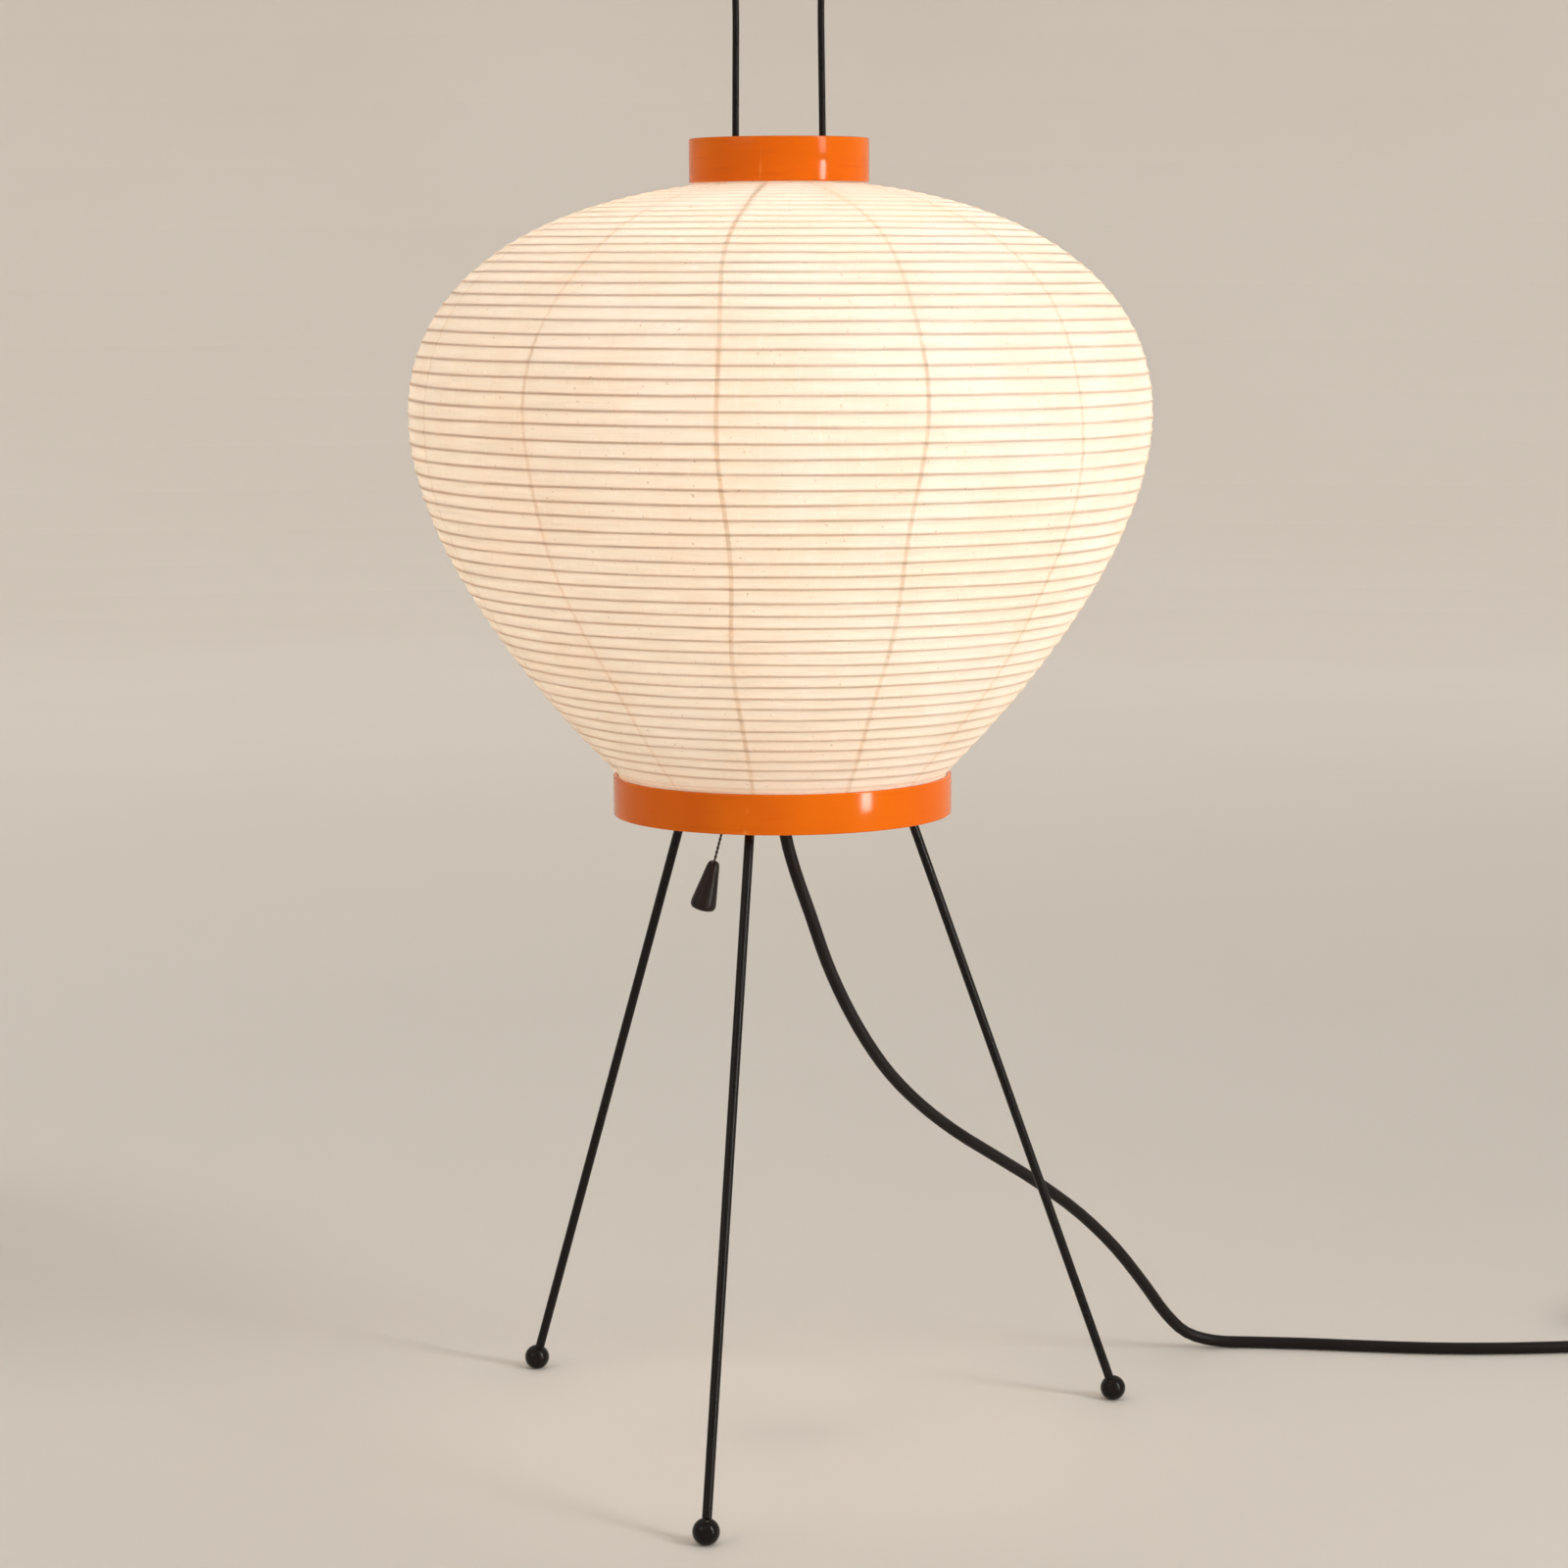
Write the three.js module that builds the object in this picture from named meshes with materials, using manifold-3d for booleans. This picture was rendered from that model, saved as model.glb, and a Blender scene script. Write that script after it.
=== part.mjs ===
// Table lamp: ribbed paper shade hung from a wire harp over a three-legged rod stand.
// Millimetres, +Z up. The origin is on the table under the lamp's axis, and one leg points to -Y.
import * as THREE from 'three';
import { mergeVertices } from 'three/addons/utils/BufferGeometryUtils.js';
import Module from 'manifold-3d';

const wasm = await Module();
wasm.setup();

// ---------------------------------------------------------------- driving dimensions
const GAP = 0.3;                       // running or resting gap between two pieces

const SHADE_R = 140;                   // widest radius of the paper
const SHADE_WIDEST_Z = 396;
const PAPER = 0.48;                    // paper wall, measured level
const RIB_R = 0.5;                     // bamboo strip, as a round rib
const RIB_PITCH = 5.45;                // along the paper's surface
const RIB_SIDES_PER_TURN = 12;
const RIB_INSET = 2.6;                 // leaves room for the straight sides of the wound strip

const TOP_RING = { outer: 33.8, wall: 1.5, bottom: 482, top: 498.3 };
const BOTTOM_RING = { outer: 64.5, wall: 1.8, bottom: 244.5, top: 259.5 };
const TUCK = 4.5;                      // how far the paper runs inside a ring

const WIRE_R = 1.3;                    // harp wire
const HARP_FOOT_X = 20;                // half spacing where the wire stands in the hub
const HARP_WIDE_X = 38;                // half width around the bulb
const HARP_NECK_X = 16.6;              // half spacing through the top ring
const HARP_LOOP_X = 15.9;              // half spacing where the top loop starts
const HARP_LOOP_Z = 574;

const LEG_R = 1.8;
const LEG_TOP = { r: 22, z: 322 };     // centre of a leg's upper end
const FOOT_CIRCLE_R = 138;
const FOOT_R = 5;
const FOOT_Z = 4.7;                    // ball centre, so that each ball has a small flat
const LEGS = {                         // degrees round the axis at the foot and in the hub
  front: { foot: -90, hub: -96 },
  right: { foot: 30, hub: 30 },
  left: { foot: 150, hub: 150 },
};

const HUB = { r: 28, bottom: 314, top: 324, boss: 17.2, bossBottom: 308 };
const NIPPLE = { outer: 5, inner: 3.4, bottom: 302, top: 333 };

const NUT = { r: 8, hubHeight: 3.5, socketHeight: 2.8 };

const SOCKET = { outer: 19, wall: 1.7, bottom: 326.3, split: 345, top: 380 };
const INSULATOR = { bore: 3, bottom: 338, top: 347 };
const CONTACT = { r: 4, tip: 3, height: 1.6 };
const LINER = { inner: 15.1, top: 377 };
const LAMP_THREAD = { depth: 0.7, turns: 4, sheet: 0.6, bottom: 351, top: 374 };
const BULB = { r: 30, z: 414, neck: 14.2, neckZ: 375.2, glass: 1 };
const BULB_CAP = { r: 12.6, rim: 13.4, button: 4, bottom: 349.3, top: 374.9 };

const COVER = { outer: 19.2, wall: 1.7, bottom: 282, top: 313.7, screwZ: 311 };
const COVER_SCREW_R = 1.2;
const PULL = { x: -12, z: 280, tilt: 15 };
const SWITCH_BLOCK = { x: -10.9, z: 294, deep: 9, wide: 14, tall: 12, bore: 1.6 };
const EYELET = { bore: 1.7, neck: 2.6, flange: 4.2, bottom: 277.4, top: 286.5 };
const PLUNGER = { r: 1.25, top: 297 };
const STRING_R = 0.5;
const STRING_LENGTH = 57;
const KNOB = { length: 19.7, top: 2.3, bottom: 5 };

const CORD_R = 2.4;
const RELIEF = { tip: 3.6, root: 4.2, flange: 6.4, bottom: 258, flangeZ: 279.7, flangeTop: 281.7, top: 287 };
const INNER_LEAD = { r: 2.1, bottom: 270, top: 336 };
const COIL = { x: 343.8, y: 220.6, inner: 18.3, outer: 38.7, bottom: 1, top: 11 };
const TIE = { wall: 0.6, width: 7, angle: 130, side: 0.8 };
const PLUG = { x: 368.2, y: 283.5, angle: 100, length: 36, width: 34, height: 13, pins: 9.5 };

// The stretch from the strain relief to the coil, in the air and then along the table.
const CORD_ROUTE = [
  [0, 0, 268], [0, 0, 257], [0.3, 0.3, 246], [1, 1, 235], [4, 4, 221], [9, 9, 203],
  [14, 15, 184], [20, 21, 167], [27, 28, 151], [35, 37, 136], [45, 48, 122], [57, 60, 109],
  [71, 75, 96], [86, 91, 82], [101, 107, 66], [114, 120, 49], [125, 131, 31], [133, 139, 17],
  [141, 146, 7.5], [152, 151, 3.3], [167, 154, 2.6], [188, 156, 2.6], [214, 157, 2.6],
  [242, 159, 2.6], [270, 164, 2.6], [295, 171, 2.6], [314, 176.6, 2.7], [331.8, 180.6, 3],
];
// The stretch from the coil to the plug.
const TAIL_ROUTE = [
  [375.1, 248, 5.6], [373.2, 257, 4.3], [371.4, 266, 4.2], [370, 273.6, 5.4],
  [368.9, 279.6, 6.4], [368.2, 283.6, 6.6], [367.4, 288, 6.6],
];

// ---------------------------------------------------------------- materials
function finish(colour, roughness, metalness = 0) {
  return { color: new THREE.Color(colour), roughness, metalness };
}

const PAPER_FINISH = finish('#f6e4cc', 0.85);
const BAMBOO = finish('#c2a37f', 0.7);
const ORANGE = finish('#e0690a', 0.22);
const BLACK_PAINT = finish('#242120', 0.4, 0.2);
const BLACK_PLASTIC = finish('#1f1c1b', 0.45);
const BLACK_CORD = finish('#241d1b', 0.55);
const BRASS = finish('#b58d4c', 0.3, 1);
const STEEL = finish('#9a9a9a', 0.35, 1);
const CERAMIC = finish('#e8e4da', 0.4);
const CARD = finish('#8a7355', 0.9);
const OPAL = finish('#f7f4ee', 0.3);

const lamp = new THREE.Group();
lamp.name = 'paper_table_lamp';

function add(name, geometry, look, parent = lamp) {
  const mesh = new THREE.Mesh(geometry, new THREE.MeshStandardMaterial(look));
  mesh.name = name;
  parent.add(mesh);
  return mesh;
}

// ---------------------------------------------------------------- shape helpers
function degrees(angle) {
  return THREE.MathUtils.degToRad(angle);
}

// A turned solid from [radius, z] points. The outline closes on itself, or on the axis.
function turned(outline, sides = 24) {
  const points = outline.map(([r, z]) => new THREE.Vector2(r, z));
  if (THREE.ShapeUtils.isClockWise(points)) {
    points.reverse();
  }
  const onAxis = points.findIndex((point, i) => {
    const next = points[(i + 1) % points.length];
    return point.x === 0 && next.x === 0;
  });
  const ordered = onAxis < 0
    ? [...points, points[0].clone()]
    : [...points.slice(onAxis + 1), ...points.slice(0, onAxis + 1)];
  return new THREE.LatheGeometry(ordered, sides).rotateX(Math.PI / 2);
}

function sleeve(inner, outer, bottom, top, sides = 24) {
  return turned([[inner, bottom], [outer, bottom], [outer, top], [inner, top]], sides);
}

function disc(r, bottom, top, sides = 24) {
  return turned([[0, bottom], [r, bottom], [r, top], [0, top]], sides);
}

function swept(curve, radius, steps) {
  const section = new THREE.Shape().absarc(0, 0, radius, 0, Math.PI * 2);
  const route = { steps, extrudePath: curve, curveSegments: 3, bevelEnabled: false };
  return new THREE.ExtrudeGeometry(section, route);
}

function curveThrough(points) {
  const knots = points.map((point) => new THREE.Vector3(...point));
  return new THREE.CatmullRomCurve3(knots, false, 'centripetal');
}

// A straight round bar between two points.
function bar(from, to, radius, sides = 12) {
  const a = new THREE.Vector3(...from);
  const b = new THREE.Vector3(...to);
  const turn = new THREE.Quaternion().setFromUnitVectors(
    new THREE.Vector3(0, 1, 0), b.clone().sub(a).normalize());
  const geometry = new THREE.CylinderGeometry(radius, radius, a.distanceTo(b), sides);
  const middle = a.clone().add(b).multiplyScalar(0.5);
  return geometry.applyQuaternion(turn).translate(...middle.toArray());
}

function toManifold(geometry) {
  const bare = geometry.clone();
  bare.deleteAttribute('normal');
  bare.deleteAttribute('uv');
  const welded = mergeVertices(bare, 1e-4);
  return new wasm.Manifold(new wasm.Mesh({
    numProp: 3,
    vertProperties: new Float32Array(welded.attributes.position.array),
    triVerts: new Uint32Array(welded.index.array),
  }));
}

function cut(body, tools) {
  let result = toManifold(body);
  for (const tool of tools) {
    result = result.subtract(toManifold(tool));
  }
  const mesh = result.getMesh();
  const geometry = new THREE.BufferGeometry();
  geometry.setAttribute('position', new THREE.BufferAttribute(mesh.vertProperties, 3));
  geometry.setIndex(new THREE.BufferAttribute(mesh.triVerts, 1));
  geometry.computeVertexNormals();
  return geometry;
}

function polar(r, angle, z) {
  return [r * Math.cos(degrees(angle)), r * Math.sin(degrees(angle)), z];
}

// ---------------------------------------------------------------- shade
// The paper's outer meridian: a flat shoulder curve, then a long curve down to the bottom ring.
const TOP_TUCK_R = TOP_RING.outer - TOP_RING.wall - GAP;
const BOTTOM_TUCK_R = BOTTOM_RING.outer - BOTTOM_RING.wall - GAP;
const SHOULDER = new THREE.CubicBezierCurve(
  new THREE.Vector2(TOP_TUCK_R, TOP_RING.bottom - 0.6),
  new THREE.Vector2(TOP_TUCK_R + 61, TOP_RING.bottom - 7.5),
  new THREE.Vector2(SHADE_R, SHADE_WIDEST_Z + 50),
  new THREE.Vector2(SHADE_R, SHADE_WIDEST_Z),
);
const FLANK = new THREE.CubicBezierCurve(
  new THREE.Vector2(SHADE_R, SHADE_WIDEST_Z),
  new THREE.Vector2(SHADE_R, SHADE_WIDEST_Z - 50),
  new THREE.Vector2(BOTTOM_TUCK_R + 28, BOTTOM_RING.top + 28),
  new THREE.Vector2(BOTTOM_TUCK_R, BOTTOM_RING.top + 0.3),
);
const MERIDIAN = new THREE.CurvePath();
MERIDIAN.add(SHOULDER);
MERIDIAN.add(FLANK);

function makePaper() {
  const outer = MERIDIAN.getSpacedPoints(14).map((point) => [point.x, point.y]);
  const inner = outer.map(([r, z]) => [r - PAPER, z]);
  const topZ = TOP_RING.bottom + TUCK;
  const topEdge = [[TOP_TUCK_R - PAPER, topZ], [TOP_TUCK_R, topZ]];
  const bottomZ = BOTTOM_RING.top - TUCK;
  const bottomEdge = [[BOTTOM_TUCK_R, bottomZ], [BOTTOM_TUCK_R - PAPER, bottomZ]];
  add('paper_shade', turned([...topEdge, ...outer, ...bottomEdge, ...inner.reverse()], 36), PAPER_FINISH);
}

// One bamboo strip wound from ring to ring just inside the paper, sampled evenly by angle.
class Spiral extends THREE.Curve {
  constructor(inset) {
    super();
    this.inset = inset;
    this.turns = (MERIDIAN.getLength() - 2 * RIB_PITCH) / RIB_PITCH;
  }

  getUtoTmapping(u) {
    return u;
  }

  getPoint(t, target = new THREE.Vector3()) {
    const along = (1 + t * this.turns) / (this.turns + 2);
    const point = MERIDIAN.getPointAt(along);
    const slope = MERIDIAN.getTangentAt(along);
    const r = point.x + slope.y * this.inset;
    const z = point.y - slope.x * this.inset;
    const angle = t * this.turns * Math.PI * 2;
    return target.set(r * Math.cos(angle), r * Math.sin(angle), z);
  }
}

function makeRib() {
  const spiral = new Spiral(RIB_INSET);
  const steps = Math.round(spiral.turns * RIB_SIDES_PER_TURN);
  const section = new THREE.Shape(polygon(RIB_R, 3));
  const geometry = new THREE.ExtrudeGeometry(section, { steps, extrudePath: spiral, bevelEnabled: false });
  add('bamboo_spiral_rib', geometry, BAMBOO);
}

function polygon(radius, sides, turn = 0) {
  return Array.from({ length: sides }, (_, i) => {
    const angle = (i / sides) * Math.PI * 2 + turn;
    return new THREE.Vector2(radius * Math.cos(angle), radius * Math.sin(angle));
  });
}

function makeRing(name, { outer, wall, bottom, top }) {
  const inner = outer - wall;
  const edge = 0.4;
  const outline = [
    [inner, bottom], [outer - edge, bottom], [outer, bottom + edge],
    [outer, top - edge], [outer - edge, top], [inner, top],
  ];
  add(name, turned(outline, 42), ORANGE);
}

// A flat bar across the top ring with its ends turned up. It sits on two sleeves on the harp.
const BRIDGE = { bottom: 488.5, thick: 1.5, width: 13, tab: 8 };

function makeBridge() {
  const end = TOP_RING.outer - TOP_RING.wall - 1;
  const { bottom, thick, width, tab } = BRIDGE;
  const outline = new THREE.Shape([
    [-end, bottom], [end, bottom], [end, bottom + tab], [end - thick, bottom + tab],
    [end - thick, bottom + thick], [thick - end, bottom + thick], [thick - end, bottom + tab],
    [-end, bottom + tab],
  ].map(([x, z]) => new THREE.Vector2(x, z)));
  const body = new THREE.ExtrudeGeometry(outline, { depth: width, bevelEnabled: false });
  body.rotateX(Math.PI / 2).translate(0, width / 2, 0);
  const holes = [-1, 1].map((side) => bar(
    [side * HARP_NECK_X, 0, bottom - 1], [side * HARP_NECK_X, 0, bottom + 4], WIRE_R + GAP + 0.2));
  add('shade_bridge', cut(body, holes), BLACK_PAINT);
  for (const [name, side] of [['left', -1], ['right', 1]]) {
    const stop = sleeve(WIRE_R + GAP, 3.4, -5, -GAP, 12).translate(side * HARP_NECK_X, 0, bottom);
    add(`harp_stop_${name}`, stop, BLACK_PAINT);
  }
}

// ---------------------------------------------------------------- stand
function harpSide(side) {
  return [
    [side * HARP_FOOT_X, 0, HUB.bottom + 2], [side * HARP_FOOT_X, 0, HUB.top + 1],
    [side * (HARP_FOOT_X + 2), 0, 332], [side * (HARP_WIDE_X - 2), 0, 348],
    [side * HARP_WIDE_X, 0, 356], [side * HARP_WIDE_X, 0, 400], [side * HARP_WIDE_X, 0, 440],
    [side * (HARP_WIDE_X - 3), 0, 450], [side * (HARP_NECK_X + 4), 0, 468],
    [side * (HARP_NECK_X + 0.6), 0, 475], [side * HARP_NECK_X, 0, 480], [side * HARP_NECK_X, 0, 485],
    [side * HARP_NECK_X, 0, 490], [side * HARP_NECK_X, 0, 498], [side * (HARP_NECK_X - 0.4), 0, 540],
    [side * HARP_LOOP_X, 0, HARP_LOOP_Z],
  ];
}

function makeHarp() {
  const loop = [30, 60, 90, 120, 150].map((angle) => {
    const [x, up] = polar(HARP_LOOP_X, angle, 0);
    return [x, 0, HARP_LOOP_Z + up];
  });
  const path = curveThrough([...harpSide(1), ...loop, ...harpSide(-1).reverse()]);
  add('harp_wire', swept(path, WIRE_R, 64), BLACK_PAINT);
}

function legEnds(name) {
  const foot = new THREE.Vector3(...polar(FOOT_CIRCLE_R, LEGS[name].foot, FOOT_Z));
  const top = new THREE.Vector3(...polar(LEG_TOP.r, LEGS[name].hub, LEG_TOP.z));
  return { foot, top, along: top.clone().sub(foot).normalize() };
}

function makeLegs() {
  for (const name of Object.keys(LEGS)) {
    const { foot, top, along } = legEnds(name);
    const start = foot.clone().addScaledVector(along, 1);
    add(`leg_${name}`, bar(start.toArray(), top.toArray(), LEG_R, 10), BLACK_PAINT);
    const ball = new THREE.SphereGeometry(FOOT_R, 12, 8).rotateX(Math.PI / 2);
    ball.translate(...foot.toArray());
    const bore = bar(start.clone().addScaledVector(along, -GAP).toArray(),
      foot.clone().addScaledVector(along, 9).toArray(), LEG_R + GAP, 10);
    const below = new THREE.BoxGeometry(20, 20, 20).translate(foot.x, foot.y, -10);
    add(`foot_${name}`, cut(ball, [bore, below]), BLACK_PAINT);
  }
}

// Grub screws in the hub's rim hold the three legs and the two ends of the harp.
const GRUB = { r: 1.5, z: 319, atLeg: 25.7, atHarp: 21.8 };

function makeHub() {
  const { r, bottom, top, boss, bossBottom } = HUB;
  const body = turned([
    [0, bossBottom], [boss, bossBottom], [boss, bottom], [r - 1, bottom], [r, bottom + 1],
    [r, top - 1], [r - 1, top], [0, top],
  ], 28);
  const tools = [disc(NIPPLE.outer + GAP, bossBottom - 1, top + 1, 16)];
  for (const name of Object.keys(LEGS)) {
    const { foot, top: end, along } = legEnds(name);
    const far = end.clone().addScaledVector(along, GAP).toArray();
    tools.push(bar(foot.clone().lerp(end, 0.8).toArray(), far, LEG_R + GAP, 10));
    tools.push(grub(LEGS[name].hub, LEG_TOP.r + 2, r + 2, GRUB.r + GAP));
  }
  for (const angle of [0, 180]) {
    const from = polar(HARP_FOOT_X, angle, bottom - 1);
    const to = polar(HARP_FOOT_X, angle, top + 1);
    tools.push(bar(from, to, WIRE_R + GAP, 10));
    tools.push(grub(angle, HARP_FOOT_X, r + 2, GRUB.r + GAP));
  }
  const screwHole = COVER_SCREW_R + GAP;
  tools.push(bar([0, boss - 2.4, COVER.screwZ], [0, boss + 2, COVER.screwZ], screwHole, 8));
  add('stand_hub', cut(body, tools), BLACK_PAINT);
  for (const [name, { hub }] of Object.entries(LEGS)) {
    add(`grub_screw_leg_${name}`, grub(hub, GRUB.atLeg, r + 0.2, GRUB.r), STEEL);
  }
  for (const [name, angle] of [['right', 0], ['left', 180]]) {
    add(`grub_screw_harp_${name}`, grub(angle, GRUB.atHarp, r + 0.2, GRUB.r), STEEL);
  }
}

function grub(angle, from, to, radius) {
  return bar(polar(from, angle, GRUB.z), polar(to, angle, GRUB.z), radius, 8);
}

function makeNut(name, bottom, height) {
  const outline = new THREE.Shape(polygon(NUT.r, 6));
  outline.holes.push(new THREE.Path(polygon(NIPPLE.outer + GAP, 12)));
  const nut = new THREE.ExtrudeGeometry(outline, { depth: height, bevelEnabled: false });
  add(name, nut.translate(0, 0, bottom), BRASS);
}

function makeStandFittings() {
  add('threaded_nipple', sleeve(NIPPLE.inner, NIPPLE.outer - 0.05, NIPPLE.bottom, NIPPLE.top, 16), BRASS);
  makeNut('hub_nut', HUB.bossBottom - GAP - NUT.hubHeight, NUT.hubHeight);
  makeNut('socket_nut', SOCKET.bottom + SOCKET.wall + GAP, NUT.socketHeight);
}

// ---------------------------------------------------------------- lamp holder and bulb
function lampThread(radius, bottom = LAMP_THREAD.bottom) {
  const { depth, turns, top } = LAMP_THREAD;
  const points = [];
  for (let i = 0; i <= turns * 2; i += 1) {
    points.push([radius + (i % 2 ? depth : 0), bottom + ((top - bottom) * i) / (turns * 2)]);
  }
  return points;
}

function makeSocket() {
  const { outer, wall, bottom, split, top } = SOCKET;
  const inner = outer - wall;
  const bore = NIPPLE.outer + GAP;
  add('socket_cap', turned([
    [bore, bottom], [outer - 6, bottom], [outer, bottom + 8], [outer, split - GAP], [inner, split - GAP],
    [inner, bottom + 9], [outer - 7, bottom + wall], [bore, bottom + wall],
  ]), BLACK_PLASTIC);
  add('socket_shell', turned([
    [inner, split], [outer, split], [outer, top - 2], [outer - 1, top], [inner, top],
  ]), BLACK_PLASTIC);
  const seat = INSULATOR.top + GAP;
  add('socket_insulator', sleeve(INSULATOR.bore, inner - GAP, INSULATOR.bottom, INSULATOR.top, 20), CERAMIC);
  add('socket_contact', turned([
    [0, seat], [CONTACT.r, seat], [CONTACT.tip, seat + CONTACT.height - GAP], [0, seat + CONTACT.height],
  ], 12), BRASS);
  add('socket_liner', sleeve(LINER.inner, inner - GAP, seat, LINER.top, 20), CARD);
  const insideWall = lampThread(BULB_CAP.r + GAP);
  const outsideWall = lampThread(BULB_CAP.r + GAP + LAMP_THREAD.sheet).reverse();
  add('screw_shell', turned([...insideWall, ...outsideWall], 16), BRASS);
}

function bulbOutline(inset) {
  const arc = [-42, -22, 0, 22, 45, 68, 90].map((angle) => {
    const [r, up] = polar(BULB.r - inset, angle, 0);
    return [Math.abs(r) < 1e-6 ? 0 : r, BULB.z + up];
  });
  return [[BULB.neck - inset, BULB.neckZ], [BULB.neck + 1 - inset, BULB.neckZ + 8], ...arc];
}

function makeBulb() {
  const outside = bulbOutline(0);
  const inside = bulbOutline(BULB.glass).reverse();
  add('bulb_glass', turned([...outside, ...inside], 20), OPAL);
  const { r, rim, button, bottom, top } = BULB_CAP;
  add('bulb_base', turned([
    [0, bottom], [button, bottom], [button + 1, bottom + 2.3], ...lampThread(r, LAMP_THREAD.bottom + 1),
    [rim, top], [0, top],
  ], 16), STEEL);
}

// ---------------------------------------------------------------- pull switch
function makeSwitch() {
  const { outer, wall, bottom, top, screwZ } = COVER;
  const inner = outer - wall;
  const cover = turned([
    [0, bottom], [outer - 3, bottom], [outer, bottom + 3], [outer, top], [inner, top],
    [inner, bottom + 3.5], [inner - 2, bottom + wall], [0, bottom + wall],
  ], 24);
  const holes = [
    disc(RELIEF.root + GAP + 0.1, bottom - 1, bottom + 3, 16),
    disc(EYELET.neck + GAP, bottom - 1, bottom + 3, 12).translate(PULL.x, 0, 0),
    bar([0, inner - 1, screwZ], [0, outer + 1, screwZ], COVER_SCREW_R + GAP, 8),
  ];
  add('switch_cover', cut(cover, holes), BLACK_PLASTIC);
  const screw = bar([0, HUB.boss - 2, screwZ], [0, outer + 1.2, screwZ], COVER_SCREW_R, 8);
  add('switch_cover_screw', screw, STEEL);
  const { x, z, deep, wide, tall, bore } = SWITCH_BLOCK;
  const block = new THREE.BoxGeometry(deep, wide, tall).translate(x, 0, z);
  const well = disc(bore, z - tall, z + tall / 2 + 2, 10).translate(PULL.x, 0, 0);
  add('switch_body', cut(block, [well]), BLACK_PLASTIC);
  const step = bottom - GAP;
  add('pull_eyelet', turned([
    [EYELET.bore, EYELET.bottom + 1.4], [EYELET.neck, EYELET.bottom], [EYELET.flange, EYELET.bottom + 0.5],
    [EYELET.flange, step], [EYELET.neck, step], [EYELET.neck, EYELET.top], [EYELET.bore, EYELET.top],
  ], 16).translate(PULL.x, 0, 0), BRASS);
  const rod = disc(PLUNGER.r, PULL.z + GAP, PLUNGER.top, 8).translate(PULL.x, 0, 0);
  add('switch_plunger', rod, BRASS);
}

function makePull() {
  const hanging = new THREE.Group();
  hanging.position.set(PULL.x, 0, PULL.z);
  hanging.rotation.y = degrees(PULL.tilt);
  lamp.add(hanging);
  add('pull_string', disc(STRING_R, -STRING_LENGTH, 0, 8), BLACK_CORD, hanging);
  const { length, top, bottom } = KNOB;
  const low = -STRING_LENGTH - GAP - length;
  const high = low + length;
  add('pull_knob', turned([
    [0, low], [bottom - 1.6, low], [bottom - 0.4, low + 0.9], [bottom, low + 2.6],
    [top, high - 1.8], [top - 1, high], [0, high],
  ], 20), BLACK_PLASTIC, hanging);
}

// ---------------------------------------------------------------- power cord
function makeCord() {
  const { tip, root, flange, bottom, flangeZ, flangeTop, top } = RELIEF;
  add('strain_relief', turned([
    [CORD_R + GAP, bottom], [tip, bottom], [root, flangeZ], [flange, flangeZ], [flange, flangeTop],
    [root, flangeTop], [root, top], [CORD_R + GAP, top],
  ], 16), BLACK_PLASTIC);
  add('inner_lead', disc(INNER_LEAD.r, INNER_LEAD.bottom, INNER_LEAD.top, 8), BLACK_CORD);
  add('power_cord', swept(curveThrough(CORD_ROUTE), CORD_R, 64), BLACK_CORD);
  add('power_cord_tail', swept(curveThrough(TAIL_ROUTE), CORD_R, 12), BLACK_CORD);
}

function makeCoil() {
  const { x, y, inner, outer, bottom, top } = COIL;
  const edge = 1.6;
  add('cord_coil', turned([
    [inner, bottom + edge], [inner + edge, bottom], [outer - edge, bottom], [outer, bottom + edge],
    [outer, top - edge], [outer - edge, top], [inner + edge, top], [inner, top - edge],
  ], 28).translate(x, y, 0), BLACK_CORD);
  const low = bottom - GAP - TIE.wall;
  const high = top + GAP + TIE.wall;
  const near = inner - TIE.side;
  const far = outer + TIE.side;
  const loop = rectangle(near - TIE.wall, low, far + TIE.wall, high);
  loop.holes.push(rectangle(near, low + TIE.wall, far, high - TIE.wall));
  const tie = new THREE.ExtrudeGeometry(loop, { depth: TIE.width, bevelEnabled: false });
  tie.rotateX(Math.PI / 2).translate(0, TIE.width / 2, 0);
  tie.rotateZ(degrees(TIE.angle)).translate(x, y, 0);
  add('cord_tie', tie, BLACK_PLASTIC);
}

function rectangle(left, low, right, high) {
  return new THREE.Shape([[left, low], [right, low], [right, high], [left, high]]
    .map(([x, z]) => new THREE.Vector2(x, z)));
}

// A flat two-pin plug that lies on the table, its pins pointing away from the coil.
function makePlug() {
  const plug = new THREE.Group();
  plug.position.set(PLUG.x, PLUG.y, 0.1);
  plug.rotation.z = degrees(PLUG.angle);
  lamp.add(plug);
  const { length, width, height, pins } = PLUG;
  const half = width / 2;
  const outline = new THREE.Shape([
    [0, -4.4], [11, -5], [20, -half + 2], [24, -half], [length, -half], [length, half], [24, half],
    [20, half - 2], [11, 5], [0, 4.4],
  ].map(([x, y]) => new THREE.Vector2(x, y)));
  const body = new THREE.ExtrudeGeometry(outline, { depth: height, bevelEnabled: false });
  const middle = height / 2;
  const holes = [bar([-1, 0, middle], [9, 0, middle], CORD_R + GAP + 0.1, 12)];
  for (const y of [-pins, pins]) {
    holes.push(bar([length - 4, y, middle], [length + 1, y, middle], 2 + GAP, 10));
  }
  add('plug_body', cut(body, holes), BLACK_PLASTIC, plug);
  for (const [name, y] of [['left', pins], ['right', -pins]]) {
    add(`plug_pin_${name}`, bar([length - 3.5, y, middle], [length + 19, y, middle], 2, 10), BRASS, plug);
  }
}

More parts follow.
